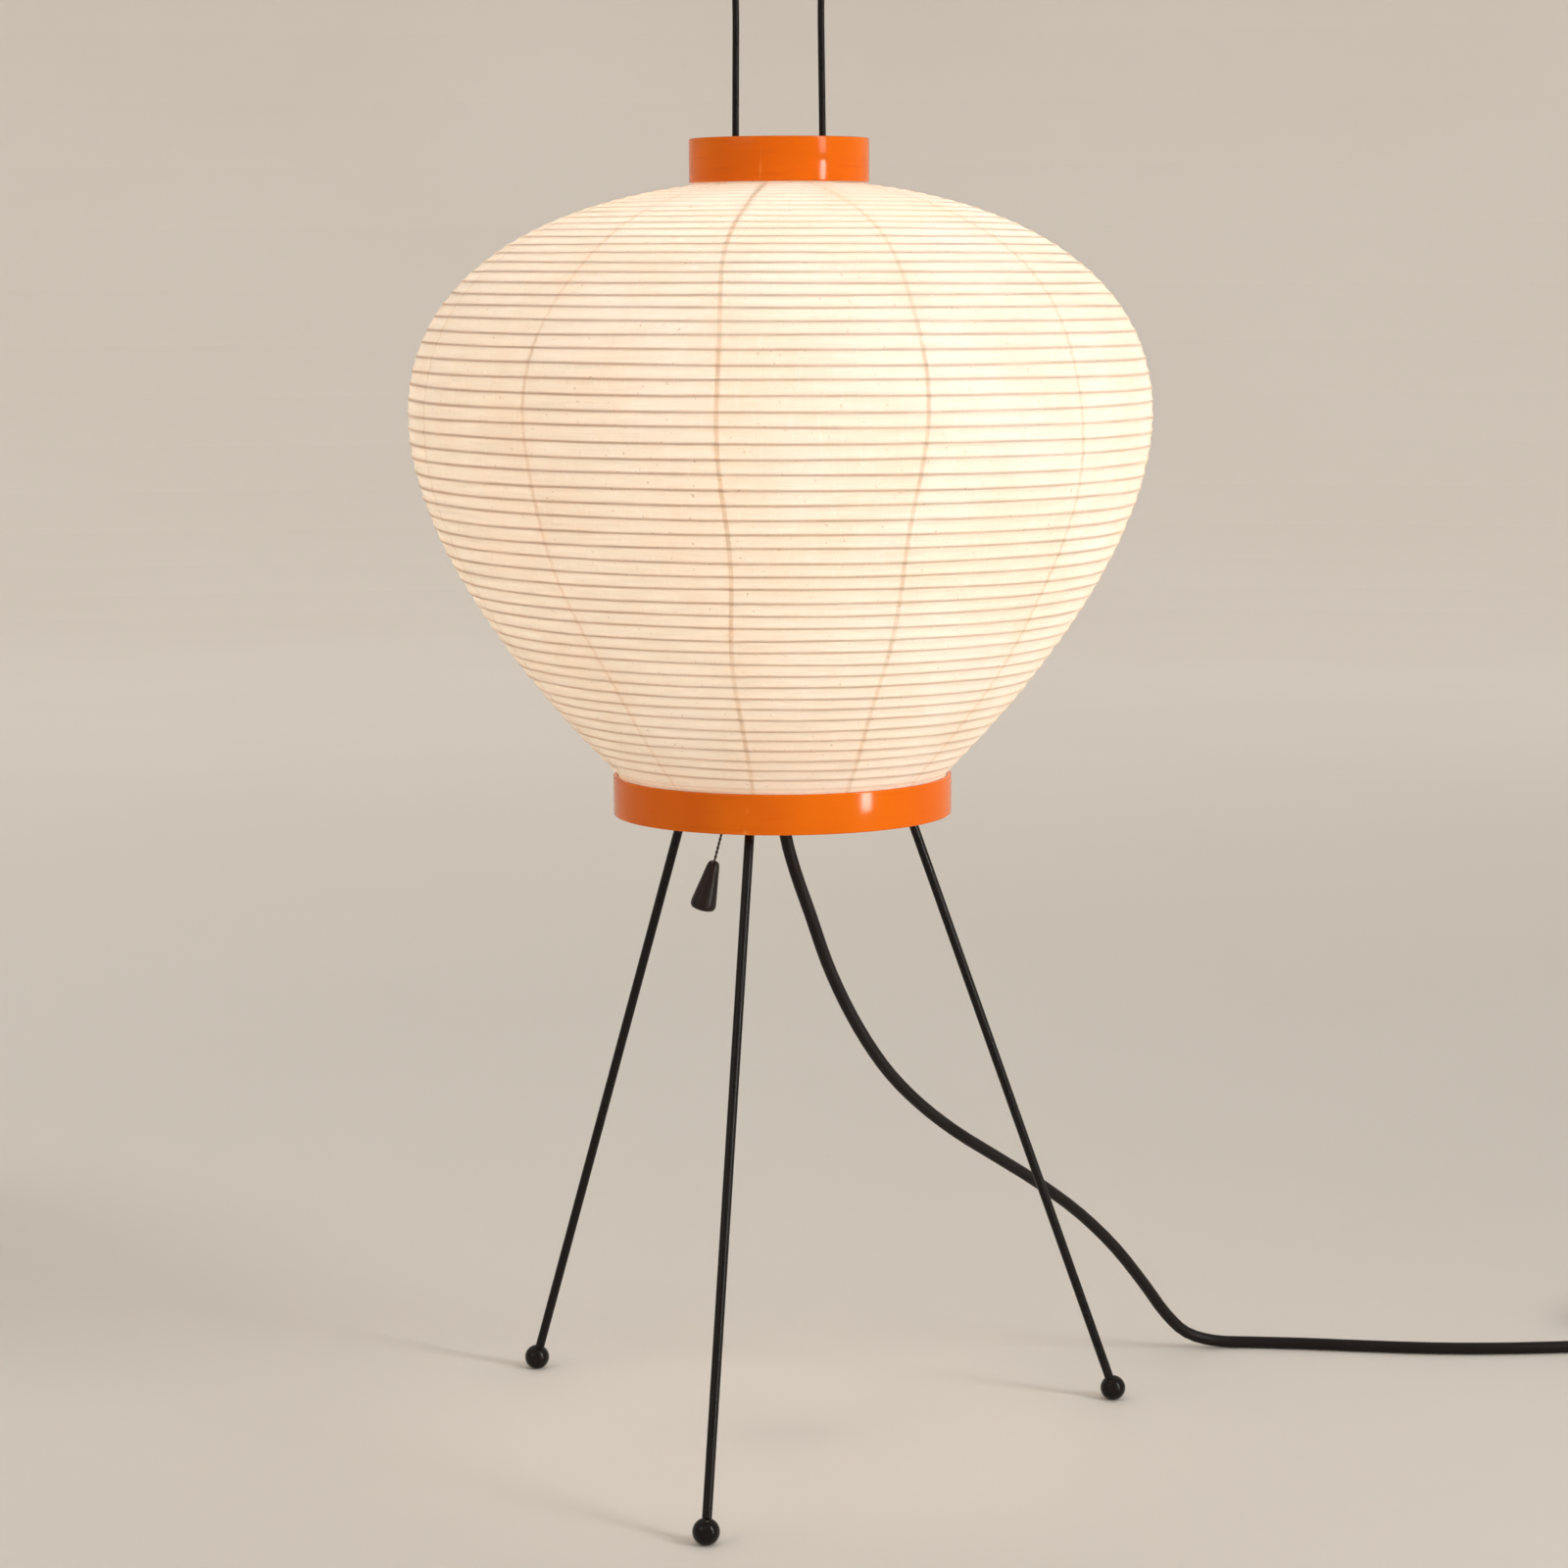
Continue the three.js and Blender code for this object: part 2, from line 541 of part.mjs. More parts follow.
makePaper();
makeRib();
makeRing('top_ring', TOP_RING);
makeRing('bottom_ring', BOTTOM_RING);
makeBridge();
makeHarp();
makeLegs();
makeHub();
makeStandFittings();
makeSocket();
makeBulb();
makeSwitch();
makePull();
makeCord();
makeCoil();
makePlug();

export default lamp;
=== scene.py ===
from contextlib import contextmanager
from math import asin, atan2, copysign, cos, hypot, pi, radians, sin

import bmesh
import bpy
import numpy as np
from mathutils import Matrix, Vector


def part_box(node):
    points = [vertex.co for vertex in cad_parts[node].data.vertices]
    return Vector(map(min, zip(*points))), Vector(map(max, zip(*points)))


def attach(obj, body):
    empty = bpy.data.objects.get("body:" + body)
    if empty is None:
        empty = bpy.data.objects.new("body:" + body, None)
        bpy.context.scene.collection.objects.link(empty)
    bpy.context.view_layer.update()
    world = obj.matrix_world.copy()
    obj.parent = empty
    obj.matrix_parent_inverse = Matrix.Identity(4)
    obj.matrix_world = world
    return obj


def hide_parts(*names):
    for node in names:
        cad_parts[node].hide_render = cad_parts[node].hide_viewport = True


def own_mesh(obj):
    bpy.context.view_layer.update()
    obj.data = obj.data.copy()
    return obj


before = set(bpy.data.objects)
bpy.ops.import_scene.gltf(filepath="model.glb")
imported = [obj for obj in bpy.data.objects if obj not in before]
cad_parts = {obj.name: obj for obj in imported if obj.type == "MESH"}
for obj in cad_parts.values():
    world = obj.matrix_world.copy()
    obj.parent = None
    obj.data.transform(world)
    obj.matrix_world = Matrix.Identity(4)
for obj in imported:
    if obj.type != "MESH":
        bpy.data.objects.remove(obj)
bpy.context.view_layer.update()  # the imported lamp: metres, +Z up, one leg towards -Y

MM = 0.001
TOUCHING = 1e-6  # points closer than this are joined
LOOKS = {}  # each finished material, by its name


def show(made):
    """Puts an object in the scene."""
    bpy.context.collection.objects.link(made)


# ---- camera and lights
CAMERA_AZIMUTH = 11.942  # degrees round the lamp from -Y
CAMERA_DISTANCE = 1.4818  # level, from the lamp's axis
CAMERA_HEIGHT = 0.4504
CAMERA_TILT = 7.509  # degrees below level
CAMERA_PAN = -0.024  # degrees to the left
CAMERA_ROLL = -0.302
LENS = 89.9


def make_camera():
    """The main view: from a little to the right, level with the shade and tilted down."""
    turn = Matrix.Rotation(radians(CAMERA_AZIMUTH), 4, "Z")
    place = turn @ Matrix.Translation((0, -CAMERA_DISTANCE, CAMERA_HEIGHT))
    pan = Matrix.Rotation(radians(CAMERA_PAN), 4, "Z")
    aim = pan @ Matrix.Rotation(radians(90 - CAMERA_TILT), 4, "X")
    roll = Matrix.Rotation(radians(CAMERA_ROLL), 4, "Z")
    camera = bpy.data.objects.new("camera", bpy.data.cameras.new("camera"))
    camera.data.lens = LENS
    camera.data.clip_end = 200
    camera.matrix_world = place @ aim @ roll
    show(camera)
    bpy.context.scene.camera = camera


def round_axis(azimuth, distance, height):
    """A point round the lamp's axis, its azimuth in degrees from -Y towards +X."""
    a = radians(azimuth)
    return Vector((distance * sin(a), -distance * cos(a), height))


def soft_light(name, where, aim, size, power, tint, spread=180):
    """A rectangular area light that faces a point, its beam spread in degrees."""
    data = bpy.data.lights.new(name, "AREA")
    data.shape = "RECTANGLE"
    data.size, data.size_y = size
    data.energy = power
    data.color = tint
    data.spread = radians(spread)
    light = bpy.data.objects.new(name, data)
    facing = (aim - where).to_track_quat("-Z", "Y")
    light.matrix_world = Matrix.Translation(where) @ facing.to_matrix().to_4x4()
    light.visible_camera = False
    show(light)


DAYLIGHT = (0.92, 0.965, 1.0)
NEUTRAL = (1.0, 0.985, 0.96)
WARM = (1.0, 0.97, 0.92)
BULB = (1.0, 0.91, 0.80)
ROOM = (0.81, 0.79, 0.765)
ROOM_STRENGTH = 0.72
BULB_POWER = 4.2
BULB_SOFTNESS = 0.034  # radius of the light inside the bulb
WASHES = 6  # equal lights all round that even out the backdrop


def make_lights():
    shade, lower_ring = Vector((0, 0, 0.36)), Vector((0, 0, 0.28))
    soft_light("window_right", round_axis(69, 2.4, 1.55), shade, (0.42, 1.9), 4.6, DAYLIGHT, 60)
    soft_light("ring_glint", round_axis(69, 1.7, 0.26), lower_ring, (0.22, 0.46), 0.26, WARM, 26)
    soft_light("front_fill", round_axis(-38, 2.6, 1.6), shade, (1.8, 1.4), 7.5, NEUTRAL)
    for k in range(WASHES):
        side = CAMERA_AZIMUTH + 360 / WASHES * k
        foot = round_axis(side, 5, 0.1)
        soft_light(f"backdrop_{k}", round_axis(side, 2.4, 2.6), foot, (2.4, 0.8), 20, NEUTRAL)
    glow = bpy.data.lights.new("bulb_glow", "POINT")
    glow.energy = BULB_POWER
    glow.color = BULB
    glow.shadow_soft_size = BULB_SOFTNESS
    lamp = bpy.data.objects.new("bulb_glow", glow)
    lamp.location = centre_of("bulb_glass")
    show(lamp)
    world = bpy.data.worlds.new("room")
    world.use_nodes = True
    background = world.node_tree.nodes["Background"]
    background.inputs["Color"].default_value = (*ROOM, 1)
    background.inputs["Strength"].default_value = ROOM_STRENGTH
    bpy.context.scene.world = world


# ---- node helpers
def colour(code):
    """A linear colour from a #rrggbb code."""
    parts = [int(code[i:i + 2], 16) / 255 for i in (1, 3, 5)]
    linear = [p / 12.92 if p <= 0.04045 else ((p + 0.055) / 1.055) ** 2.4 for p in parts]
    return (*linear, 1)


class Look:
    """A procedural material, with short calls for the nodes that it is made of."""

    def __init__(self, name, **plain):
        self.name = name
        self.material = bpy.data.materials.new(name)
        self.material.use_nodes = True
        self.tree = self.material.node_tree
        self.shader = self.tree.nodes["Principled BSDF"]
        for socket, value in plain.items():
            self.set(socket.replace("_", " "), value)
        self.place = self.node("ShaderNodeTexCoord").outputs["Object"]

    def node(self, kind, inputs=(), **settings):
        """A node with its settings, and its inputs fed by name or by number."""
        made = self.tree.nodes.new(kind)
        for key, value in settings.items():
            setattr(made, key, value)
        for key, value in dict(inputs).items():
            self.feed(made.inputs[key], value)
        return made

    def feed(self, socket, value):
        """Links a node's output to a socket, or sets the socket's own number or colour."""
        if isinstance(value, bpy.types.NodeSocket):
            self.tree.links.new(value, socket)
        else:
            socket.default_value = colour(value) if isinstance(value, str) else value

    def set(self, socket, value):
        self.feed(self.shader.inputs[socket], value)

    def maths(self, operation, *values):
        return self.node("ShaderNodeMath", enumerate(values), operation=operation).outputs[0]

    def noise(self, scale, detail=3.0, roughness=0.5, at=None, stretch=None, turn=(0, 0, 0),
              distortion=0.0):
        """Noise over the piece or over other coordinates, which may be turned and stretched first."""
        at = at or self.place
        if stretch:
            inputs = {"Vector": at, "Scale": stretch, "Rotation": turn}
            at = self.node("ShaderNodeMapping", inputs).outputs["Vector"]
        inputs = {"Vector": at, "Scale": scale, "Detail": detail, "Roughness": roughness,
                  "Distortion": distortion}
        return self.node("ShaderNodeTexNoise", inputs).outputs["Fac"]

    def uv_layer(self, name):
        """The coordinates of a UV layer, and the same split into X, Y and Z."""
        uv = self.node("ShaderNodeUVMap", uv_map=name).outputs["UV"]
        return uv, self.node("ShaderNodeSeparateXYZ", {0: uv}).outputs

    def between(self, value, low, high, out_low=0.0, out_high=1.0):
        """A smooth step from one value to another as the input goes from low to high."""
        inputs = {"Value": value, "From Min": low, "From Max": high, "To Min": out_low, "To Max": out_high}
        return self.node("ShaderNodeMapRange", inputs, interpolation_type="SMOOTHSTEP").outputs["Result"]

    def blend(self, factor, a, b):
        # a mix node keeps its colour inputs at numbers 6 and 7
        return self.node("ShaderNodeMix", {0: factor, 6: a, 7: b}, data_type="RGBA").outputs[2]

    def tint(self, tone, mask, share, code):
        """The tone, with a share of another colour where the mask is on."""
        return self.blend(self.maths("MULTIPLY", mask, share), tone, code)

    def bump(self, height, distance, strength, under=None):
        """Relief of a depth in millimetres, laid over other relief if there is some."""
        inputs = {"Height": height, "Distance": distance * MM, "Strength": strength}
        if under is not None:
            inputs["Normal"] = under
        return self.node("ShaderNodeBump", inputs).outputs["Normal"]

    def let_through(self, tone, normal, share):
        """Makes a share of the surface pass light through, in the same tone."""
        through = self.node("ShaderNodeBsdfTranslucent", {"Color": tone, "Normal": normal})
        shaders = {0: share, 1: self.shader.outputs["BSDF"], 2: through.outputs["BSDF"]}
        mix = self.node("ShaderNodeMixShader", shaders)
        self.feed(self.tree.nodes["Material Output"].inputs["Surface"], mix.outputs["Shader"])

    def finish(self, tone, normal=None, roughness=None):
        """Sets the colour, relief and roughness, and keeps the material in LOOKS."""
        for socket, value in (("Base Color", tone), ("Normal", normal), ("Roughness", roughness)):
            if value is not None:
                self.set(socket, value)
        LOOKS[self.name] = self.material


# ---- materials
RIB_LINE_AND_SHADE = 0.25  # how strongly a rib line colours the paper: the rib seen through it, and painted shade of the rib
PAPER_THROUGH = 0.42  # share of the paper's face that passes light through
BAMBOO_THROUGH = 0.62  # the same for the bamboo
LAP_THIN = (0.08, 0.22)  # how much more of it passes where a strip's edge is feathered


def paper_look():
    """Cream mulberry paper: rib lines showing through (partly painted shade of the ribs), glued seams, laid
    streaks, fibres and clouds.
    """
    look = Look("washi_paper", Specular_IOR_Level=0.35)
    uv, rib_uv = look.uv_layer("ribs")
    along = rib_uv["Y"]
    lap = look.uv_layer("laps")[1]["X"]
    clouds = look.noise(24, 4, 0.6)
    streaks = look.noise(1, 4, 0.65, at=uv, stretch=(34, 7, 1))
    # long pale fibres in three directions, and a few dark specks of bark
    fibres = None
    for turn, scale in (((0.3, 0.5, 0.2), 520), ((1.3, -0.4, 0.9), 610), ((-0.7, 1.2, 2.1), 450)):
        strand = look.noise(scale, 2, stretch=(1, 1, 0.09), turn=turn, distortion=1.2)
        strand = look.between(strand, 0.63, 0.70)
        fibres = strand if fibres is None else look.maths("MAXIMUM", fibres, strand)
    specks = look.between(look.noise(700, 1, 0.4), 0.745, 0.77)
    # the rib lines, partly the rib seen through the paper and partly its painted shade: soft, a little
    # uneven, and faint where the strip lies loose
    off = look.maths("SUBTRACT", along, look.maths("ROUND", along))
    off = look.maths("MULTIPLY", look.maths("ABSOLUTE", off), RIB_PITCH / MM)
    width = look.between(look.noise(30, 2), 0.3, 0.7, 0.75, 1.15)
    loose = look.between(look.noise(34, 2, stretch=(1, 1, 3)), 0.32, 0.55, 0.5, 1.0)
    line = look.maths("MULTIPLY", look.between(off, 0.05, width, 1.0, 0.0), loose)
    tone = look.blend(look.between(clouds, 0.3, 0.7), "#fcf6ec", "#f9eede")
    tone = look.blend(look.between(streaks, 0.35, 0.7, 0.0, 0.30), tone, "#f0dfc8")
    tone = look.tint(tone, fibres, 0.30, "#fffaf2")
    tone = look.tint(tone, specks, 0.40, "#bfa27d")
    tone = look.tint(tone, lap, 0.16, "#d6b083")
    # painted shade: the rib lines darken the paper's colour as a shadow of each rib through the paper would,
    # on top of the rib's own tone
    tone = look.tint(tone, line, RIB_LINE_AND_SHADE, "#c08c50")
    grain = look.bump(look.noise(900, 3, 0.6), 0.05, 0.6)
    puckers = look.bump(look.noise(60, 2, stretch=(1, 1, 0.35)), 1.0, 0.3, grain)
    normal = look.bump(fibres, 0.05, 0.5, puckers)
    # where two strips overlap, their feathered edges are thinner and let more light through
    feather = look.between(look.noise(40, 3, 0.6), 0.35, 0.65, *LAP_THIN)
    look.let_through(tone, normal, look.maths("MULTIPLY_ADD", lap, feather, PAPER_THROUGH))
    look.finish(tone, normal, look.between(clouds, 0.3, 0.7, 0.56, 0.7))


def bamboo_look():
    """Split bamboo, thin enough for some light to pass: long grain and darker nodes."""
    look = Look("bamboo", Specular_IOR_Level=0.3)
    grain = look.noise(260, 3, 0.6, stretch=(0.2, 0.2, 6))
    nodes = look.between(look.noise(22, 1), 0.62, 0.66)
    tone = look.tint(look.blend(grain, "#e2c190", "#cba06a"), nodes, 0.4, "#9a7248")
    normal = look.bump(grain, 0.05, 0.7)
    look.let_through(tone, normal, BAMBOO_THROUGH)
    look.finish(tone, normal, look.between(grain, 0.3, 0.7, 0.5, 0.7))


def lacquer_look():
    """Glossy orange lacquer over a bent band: slight orange peel, brush drag, worn rims."""
    look = Look("orange_lacquer", Specular_IOR_Level=0.17)
    drag = look.noise(50, stretch=(1, 1, 14))
    tone = look.blend(look.between(look.noise(16, 2), 0.3, 0.7), "#da6000", "#e66e00")
    tone = look.blend(look.between(drag, 0.55, 0.8, 0.0, 0.3), tone, "#c44a00")
    rim = look.between(look.node("ShaderNodeNewGeometry").outputs["Pointiness"], 0.53, 0.60)
    scuffed = look.maths("MULTIPLY", rim, look.between(look.noise(180), 0.45, 0.6))
    tone = look.tint(tone, scuffed, 0.35, "#f29a4c")
    normal = look.bump(look.noise(420, 2), 0.02, 0.2, look.bump(drag, 0.05, 0.25))
    look.finish(tone, normal, look.between(drag, 0.3, 0.8, 0.08, 0.17))


def black_paint_look(name, code, roughness):
    """Satin black paint on steel: fine peel, soft wear and dust."""
    look = Look(name, Specular_IOR_Level=0.17)
    patches = look.noise(70, 3, 0.6)
    dust = look.between(look.noise(520, 4, 0.7), 0.58, 0.74)
    tone = look.tint(look.blend(patches, code, "#191412"), dust, 0.07, "#5a524c")
    sheen = look.between(patches, 0.3, 0.7, roughness - 0.06, roughness + 0.08)
    look.finish(tone, look.bump(look.noise(1400, 2), 0.02, 0.35), sheen)


def moulded_look(name, code, roughness, grain):
    """Moulded plastic or rubber: spark-eroded grain, slight scuffs."""
    look = Look(name, Specular_IOR_Level=0.3)
    fine = look.noise(grain, 2, 0.6)
    scuffs = look.between(look.noise(150, 4, 0.7, stretch=(1, 3, 1), turn=(0.4, 0.9, 0)), 0.58, 0.70)
    tone = look.tint(look.blend(look.noise(60, 2), code, "#26211f"), scuffs, 0.12, "#5b544f")
    sheen = look.between(fine, 0.3, 0.7, roughness - 0.05, roughness + 0.1)
    look.finish(tone, look.bump(fine, 0.03, 0.5), sheen)


def metal_look(name, light, dark, roughness):
    """Drawn or turned metal: fine lines, a little tarnish."""
    look = Look(name, Metallic=1.0)
    lines = look.noise(600, 2, stretch=(0.15, 0.15, 5))
    tarnish = look.between(look.noise(110, 4, 0.6), 0.45, 0.7)
    sheen = look.between(tarnish, 0, 1, roughness, roughness + 0.2)
    look.finish(look.blend(tarnish, light, dark), look.bump(lines, 0.02, 0.4), sheen)


def sheath_look():
    """Black cable sheath: faint lengthwise drag, matt with a soft sheen."""
    look = Look("black_cord", Specular_IOR_Level=0.2)
    drag = look.noise(900, 3, 0.6, stretch=(1, 1, 0.3))
    patches = look.noise(45)
    sheen = look.between(patches, 0.3, 0.7, 0.38, 0.54)
    look.finish(look.blend(patches, "#100a08", "#1b1210"), look.bump(drag, 0.03, 0.4), sheen)


def string_look():
    """Black twisted string, with a little fuzz."""
    look = Look("black_string", Roughness=0.8, Specular_IOR_Level=0.2, Sheen_Weight=0.3)
    fuzz = look.noise(2600, 3, 0.7)
    look.finish(look.blend(fuzz, "#211c1b", "#453c38"), look.bump(fuzz, 0.05, 0.8))


def knob_look():
    """Black-stained turned wood with a satin finish: faint lengthwise grain."""
    look = Look("pull_knob_black", Specular_IOR_Level=0.28)
    grain = look.noise(700, 4, 0.6, stretch=(1, 1, 0.12), turn=(0, radians(-15), 0))
    tone = look.blend(look.between(grain, 0.35, 0.65), "#120908", "#21140f")
    look.finish(tone, look.bump(grain, 0.05, 0.5), look.between(grain, 0.3, 0.7, 0.32, 0.48))


def ceramic_look():
    """Glazed white insulator, faintly spotted."""
    look = Look("ceramic", Roughness=0.25, Specular_IOR_Level=0.5, Coat_Weight=0.3)
    spots = look.between(look.noise(500, 2), 0.68, 0.72)
    tone = look.tint(look.blend(look.noise(90), "#eeeae0", "#ded8ca"), spots, 0.3, "#8f8878")
    look.finish(tone, look.bump(look.noise(300, 2), 0.04, 0.3))


def card_look():
    """Brown pressed card, with its fibres lying flat."""
    look = Look("card_liner", Roughness=0.9)
    fibres = look.noise(500, 4, 0.7, stretch=(1, 1, 4))
    look.finish(look.blend(fibres, "#7d674b", "#9c8563"), look.bump(fibres, 0.05, 0.7))


def opal_look():
    """Opal bulb glass, glowing softly from within."""
    look = Look("opal_glass", Coat_Weight=0.6, Coat_Roughness=0.05, Emission_Strength=1.6)
    haze = look.noise(60, 2)
    look.set("Emission Color", look.blend(haze, "#ffe3bd", "#ffedd2"))
    sheen = look.between(haze, 0.3, 0.7, 0.15, 0.28)
    look.finish(look.blend(haze, "#fbf7ef", "#f1ebdf"), roughness=sheen)


def floor_look():
    """Pale matt floor, very faintly clouded."""
    look = Look("floor", Specular_IOR_Level=0.12)
    clouds = look.noise(1.5)
    tone = look.blend(clouds, "#e6dfd6", "#ded6cc")
    sheen = look.between(clouds, 0.3, 0.7, 0.5, 0.62)
    look.finish(tone, look.bump(look.noise(240, 2), 0.05, 0.1), sheen)


# ---- mesh helpers
def piece(name, data, look, replaces=(), body="stand", smooth=35):
    """Puts a mesh or a curve in the scene as one piece: material, shading, replaced nodes, body."""
    data.name = name
    made = bpy.data.objects.new(name, data)
    show(made)
    data.materials.clear()
    data.materials.append(LOOKS[look])
    if made.type == "MESH":
        data.shade_smooth()
        if smooth:
            data.set_sharp_from_angle(angle=radians(smooth))
    if replaces:
        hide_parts(*replaces)
    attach(made, body)
    return made


@contextmanager
def editing(mesh):
    """A mesh opened for editing, and written back at the end."""
    bm = bmesh.new()
    bm.from_mesh(mesh)
    yield bm
    bm.to_mesh(mesh)
    bm.free()


def solid(vertices, faces):
    """A mesh with all its faces turned outward."""
    mesh = bpy.data.meshes.new("solid")
    mesh.from_pydata([tuple(v) for v in vertices], [], faces)
    mesh.validate()
    with editing(mesh) as bm:
        bmesh.ops.recalc_face_normals(bm, faces=bm.faces)
    return mesh


def circle(sides):
    """The cosine and sine of equal steps round one turn."""
    angles = [2 * pi * k / sides for k in range(sides)]
    return [(cos(a), sin(a)) for a in angles]


def skin_faces(rings, sides, start=0):
    """The faces between rings of vertices, numbered from a start, and the two ends."""
    faces = []
    for i in range(start, start + (rings - 1) * sides, sides):
        for k in range(sides):
            n = (k + 1) % sides
            faces.append((i + k, i + n, i + sides + n, i + sides + k))
    last = start + (rings - 1) * sides
    return [*faces, tuple(range(start, start + sides)), tuple(range(last, last + sides))]


def heading(path, i):
    """The direction of a path at one of its points."""
    return (path[min(i + 1, len(path) - 1)] - path[max(i - 1, 0)]).normalized()


def rounded(outline, radius, closed):
    """The outline with its corners turned into short arcs. Points on the axis stay as they are."""
    steps = 3
    points = [Vector(p) for p in outline]
    result = []
    for i, here in enumerate(points):
        at_end = not closed and i in (0, len(points) - 1)
        if at_end or here.x < 1e-9:
            result.append(here)
            continue
        before = points[i - 1] - here
        after = points[(i + 1) % len(points)] - here
        reach = min(radius, before.length * 0.45, after.length * 0.45)
        start = here + before.normalized() * reach
        end = here + after.normalized() * reach
        for k in range(steps + 1):
            t = k / steps
            result.append(start * (1 - t) ** 2 + here * 2 * t * (1 - t) + end * t ** 2)
    return result


def turned(outline, base=0.0, centre=(0, 0), sides=64, edge=0.3, closed=False):
    """A lathe solid about a vertical axis, with softened corners.

    The outline's radii and heights and the edge are in millimetres, the heights from a base in metres.
    """
    ring = rounded([(r * MM, base + z * MM) for r, z in outline], edge * MM, closed)
    vertices, faces, rows = [], [], []
    for r, z in ring:
        if r < 1e-9:
            rows.append([len(vertices)] * sides)
            vertices.append((centre[0], centre[1], z))
            continue
        rows.append(list(range(len(vertices), len(vertices) + sides)))
        vertices += [(centre[0] + r * c, centre[1] + r * s, z) for c, s in circle(sides)]
    for low, high in zip(rows, rows[1:] + rows[:1] if closed else rows[1:]):
        for k in range(sides):
            n = (k + 1) % sides
            corners = list(dict.fromkeys([low[k], low[n], high[n], high[k]]))
            if len(corners) > 2:
                faces.append(corners)
    return solid(vertices, faces)


def turned_piece(name, node, look, outline, body="stand", slot=None, **shape):
    """A lathe-turned piece in place of a CAD node, its heights from the node's bottom."""
    return piece(name, turned(outline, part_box(node)[0].z, **shape), look, [node], body)


def through_points(knots, per_span=6):
    """A smooth centripetal curve through the points, as in the CAD."""
    p = [np.array(k, float) for k in knots]
    p = [2 * p[0] - p[1], *p, 2 * p[-1] - p[-2]]
    result = []
    for a, b, c, d in zip(p, p[1:], p[2:], p[3:]):
        d0, d1, d2 = (max(np.linalg.norm(v - u), 1e-9) ** 0.5 for u, v in ((a, b), (b, c), (c, d)))
        m0 = ((b - a) / d0 - (c - a) / (d0 + d1) + (c - b) / d1) * d1
        m1 = ((c - b) / d1 - (d - b) / (d1 + d2) + (d - c) / d2) * d1
        for k in range(per_span):
            t = k / per_span
            result.append((2 * t**3 - 3 * t**2 + 1) * b + (t**3 - 2 * t**2 + t) * m0
                          + (3 * t**2 - 2 * t**3) * c + (t**3 - t**2) * m1)
    result.append(p[-2])
    return result


def swept(points, radius):
    """A round wire or cord as a curve of one open spline."""
    data = bpy.data.curves.new("swept", "CURVE")
    data.dimensions = "3D"
    spline = data.splines.new("POLY")
    spline.points.add(len(points) - 1)
    for knot, where in zip(spline.points, points):
        knot.co = (*where, 1)
    spline.use_smooth = True
    data.bevel_depth = radius
    data.bevel_resolution = 6
    data.use_fill_caps = True
    return data


END_EDGE = 0.25  # of a bar's radius, cut off its ends


def tube_mesh(points, radius, sides=24):
    """A round bar along a few points, with softened ends."""
    edge = radius * END_EDGE
    first = (points[0] - points[1]).normalized()
    last = (points[-1] - points[-2]).normalized()
    path = [points[0], points[0] - first * edge, *points[1:-1], points[-1] - last * edge, points[-1]]
    sizes = [radius - edge, *[radius] * len(points), radius - edge]
    normal = first.orthogonal().normalized()
    vertices = []
    for i, (where, size) in enumerate(zip(path, sizes)):
        ahead = heading(path, i)
        normal = (normal - ahead * normal.dot(ahead)).normalized()
        other = ahead.cross(normal)
        vertices += [where + (normal * c + other * s) * size for c, s in circle(sides)]
    return solid(vertices, skin_faces(len(path), sides))


def node_points(node):
    """The corners of a CAD node's mesh."""
    return np.array([v.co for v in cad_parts[node].data.vertices], float)


def rod_ends(node):
    """The two end centres of a straight CAD rod."""
    points = node_points(node)
    axis = int(np.argmax(np.ptp(points, axis=0)))
    middle = (points[:, axis].max() + points[:, axis].min()) / 2
    low = points[points[:, axis] < middle].mean(0)
    high = points[points[:, axis] > middle].mean(0)
    return Vector(low), Vector(high)


SOCKET_RIM = 0.15  # of a screw's radius, left flat round its key socket
SOCKET_FLAT = 0.48  # of the radius, from the axis to each of the socket's six sides
SOCKET_DEPTH = 0.8 * MM
SOCKET_FLOOR = 0.9 * MM  # depth of the ring of points just under the socket


def make_screw(name, node, radius):
    """A screw's end as a short rod with a hexagonal key socket sunk in its outer face."""
    inner, outer = sorted(rod_ends(node), key=lambda p: hypot(p.x, p.y))
    out = (outer - inner).normalized()
    rod = tube_mesh([inner, outer - out * SOCKET_FLOOR, outer], radius)
    side = out.orthogonal().normalized()
    other = out.cross(side)
    with editing(rod) as bm:
        ends = [f for f in bm.faces if len(f.verts) > 8]
        cap = max(ends, key=lambda f: f.calc_center_median().dot(out))
        bmesh.ops.inset_region(bm, faces=[cap], thickness=radius * SOCKET_RIM)
        centre = cap.calc_center_median()
        for v in cap.verts:
            arm = v.co - centre
            a = atan2(arm.dot(other), arm.dot(side))
            reach = radius * SOCKET_FLAT / cos(a % (pi / 3) - pi / 6)
            v.co = centre + (side * cos(a) + other * sin(a)) * reach
        bmesh.ops.inset_region(bm, faces=[cap], thickness=0.03 * MM, depth=-SOCKET_DEPTH)
    piece(name, rod, "steel", [node])


FLAT_ENOUGH = radians(2)  # between faces that are joined into one
CREASE = radians(40)  # between faces whose shared edge is softened


def refined_piece(name, node, look, bevel):
    """A piece from a copy of a CAD node's mesh, its flat faces joined and its edges softened."""
    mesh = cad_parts[node].data.copy()
    with editing(mesh) as bm:
        bmesh.ops.remove_doubles(bm, verts=bm.verts, dist=TOUCHING)
        bmesh.ops.dissolve_limit(bm, angle_limit=FLAT_ENOUGH, verts=bm.verts, edges=bm.edges)
        sharp = [e for e in bm.edges if len(e.link_faces) == 2 and e.calc_face_angle(0) > CREASE]
        bmesh.ops.bevel(bm, geom=sharp, offset=bevel, segments=2, profile=0.5, affect="EDGES",
                        clamp_overlap=True)
        bmesh.ops.triangulate(bm, faces=[f for f in bm.faces if len(f.verts) > 4])
    piece(name, mesh, look, [node])


def centre_of(node):
    """The centre of a node's box."""
    low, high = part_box(node)
    return (low + high) / 2


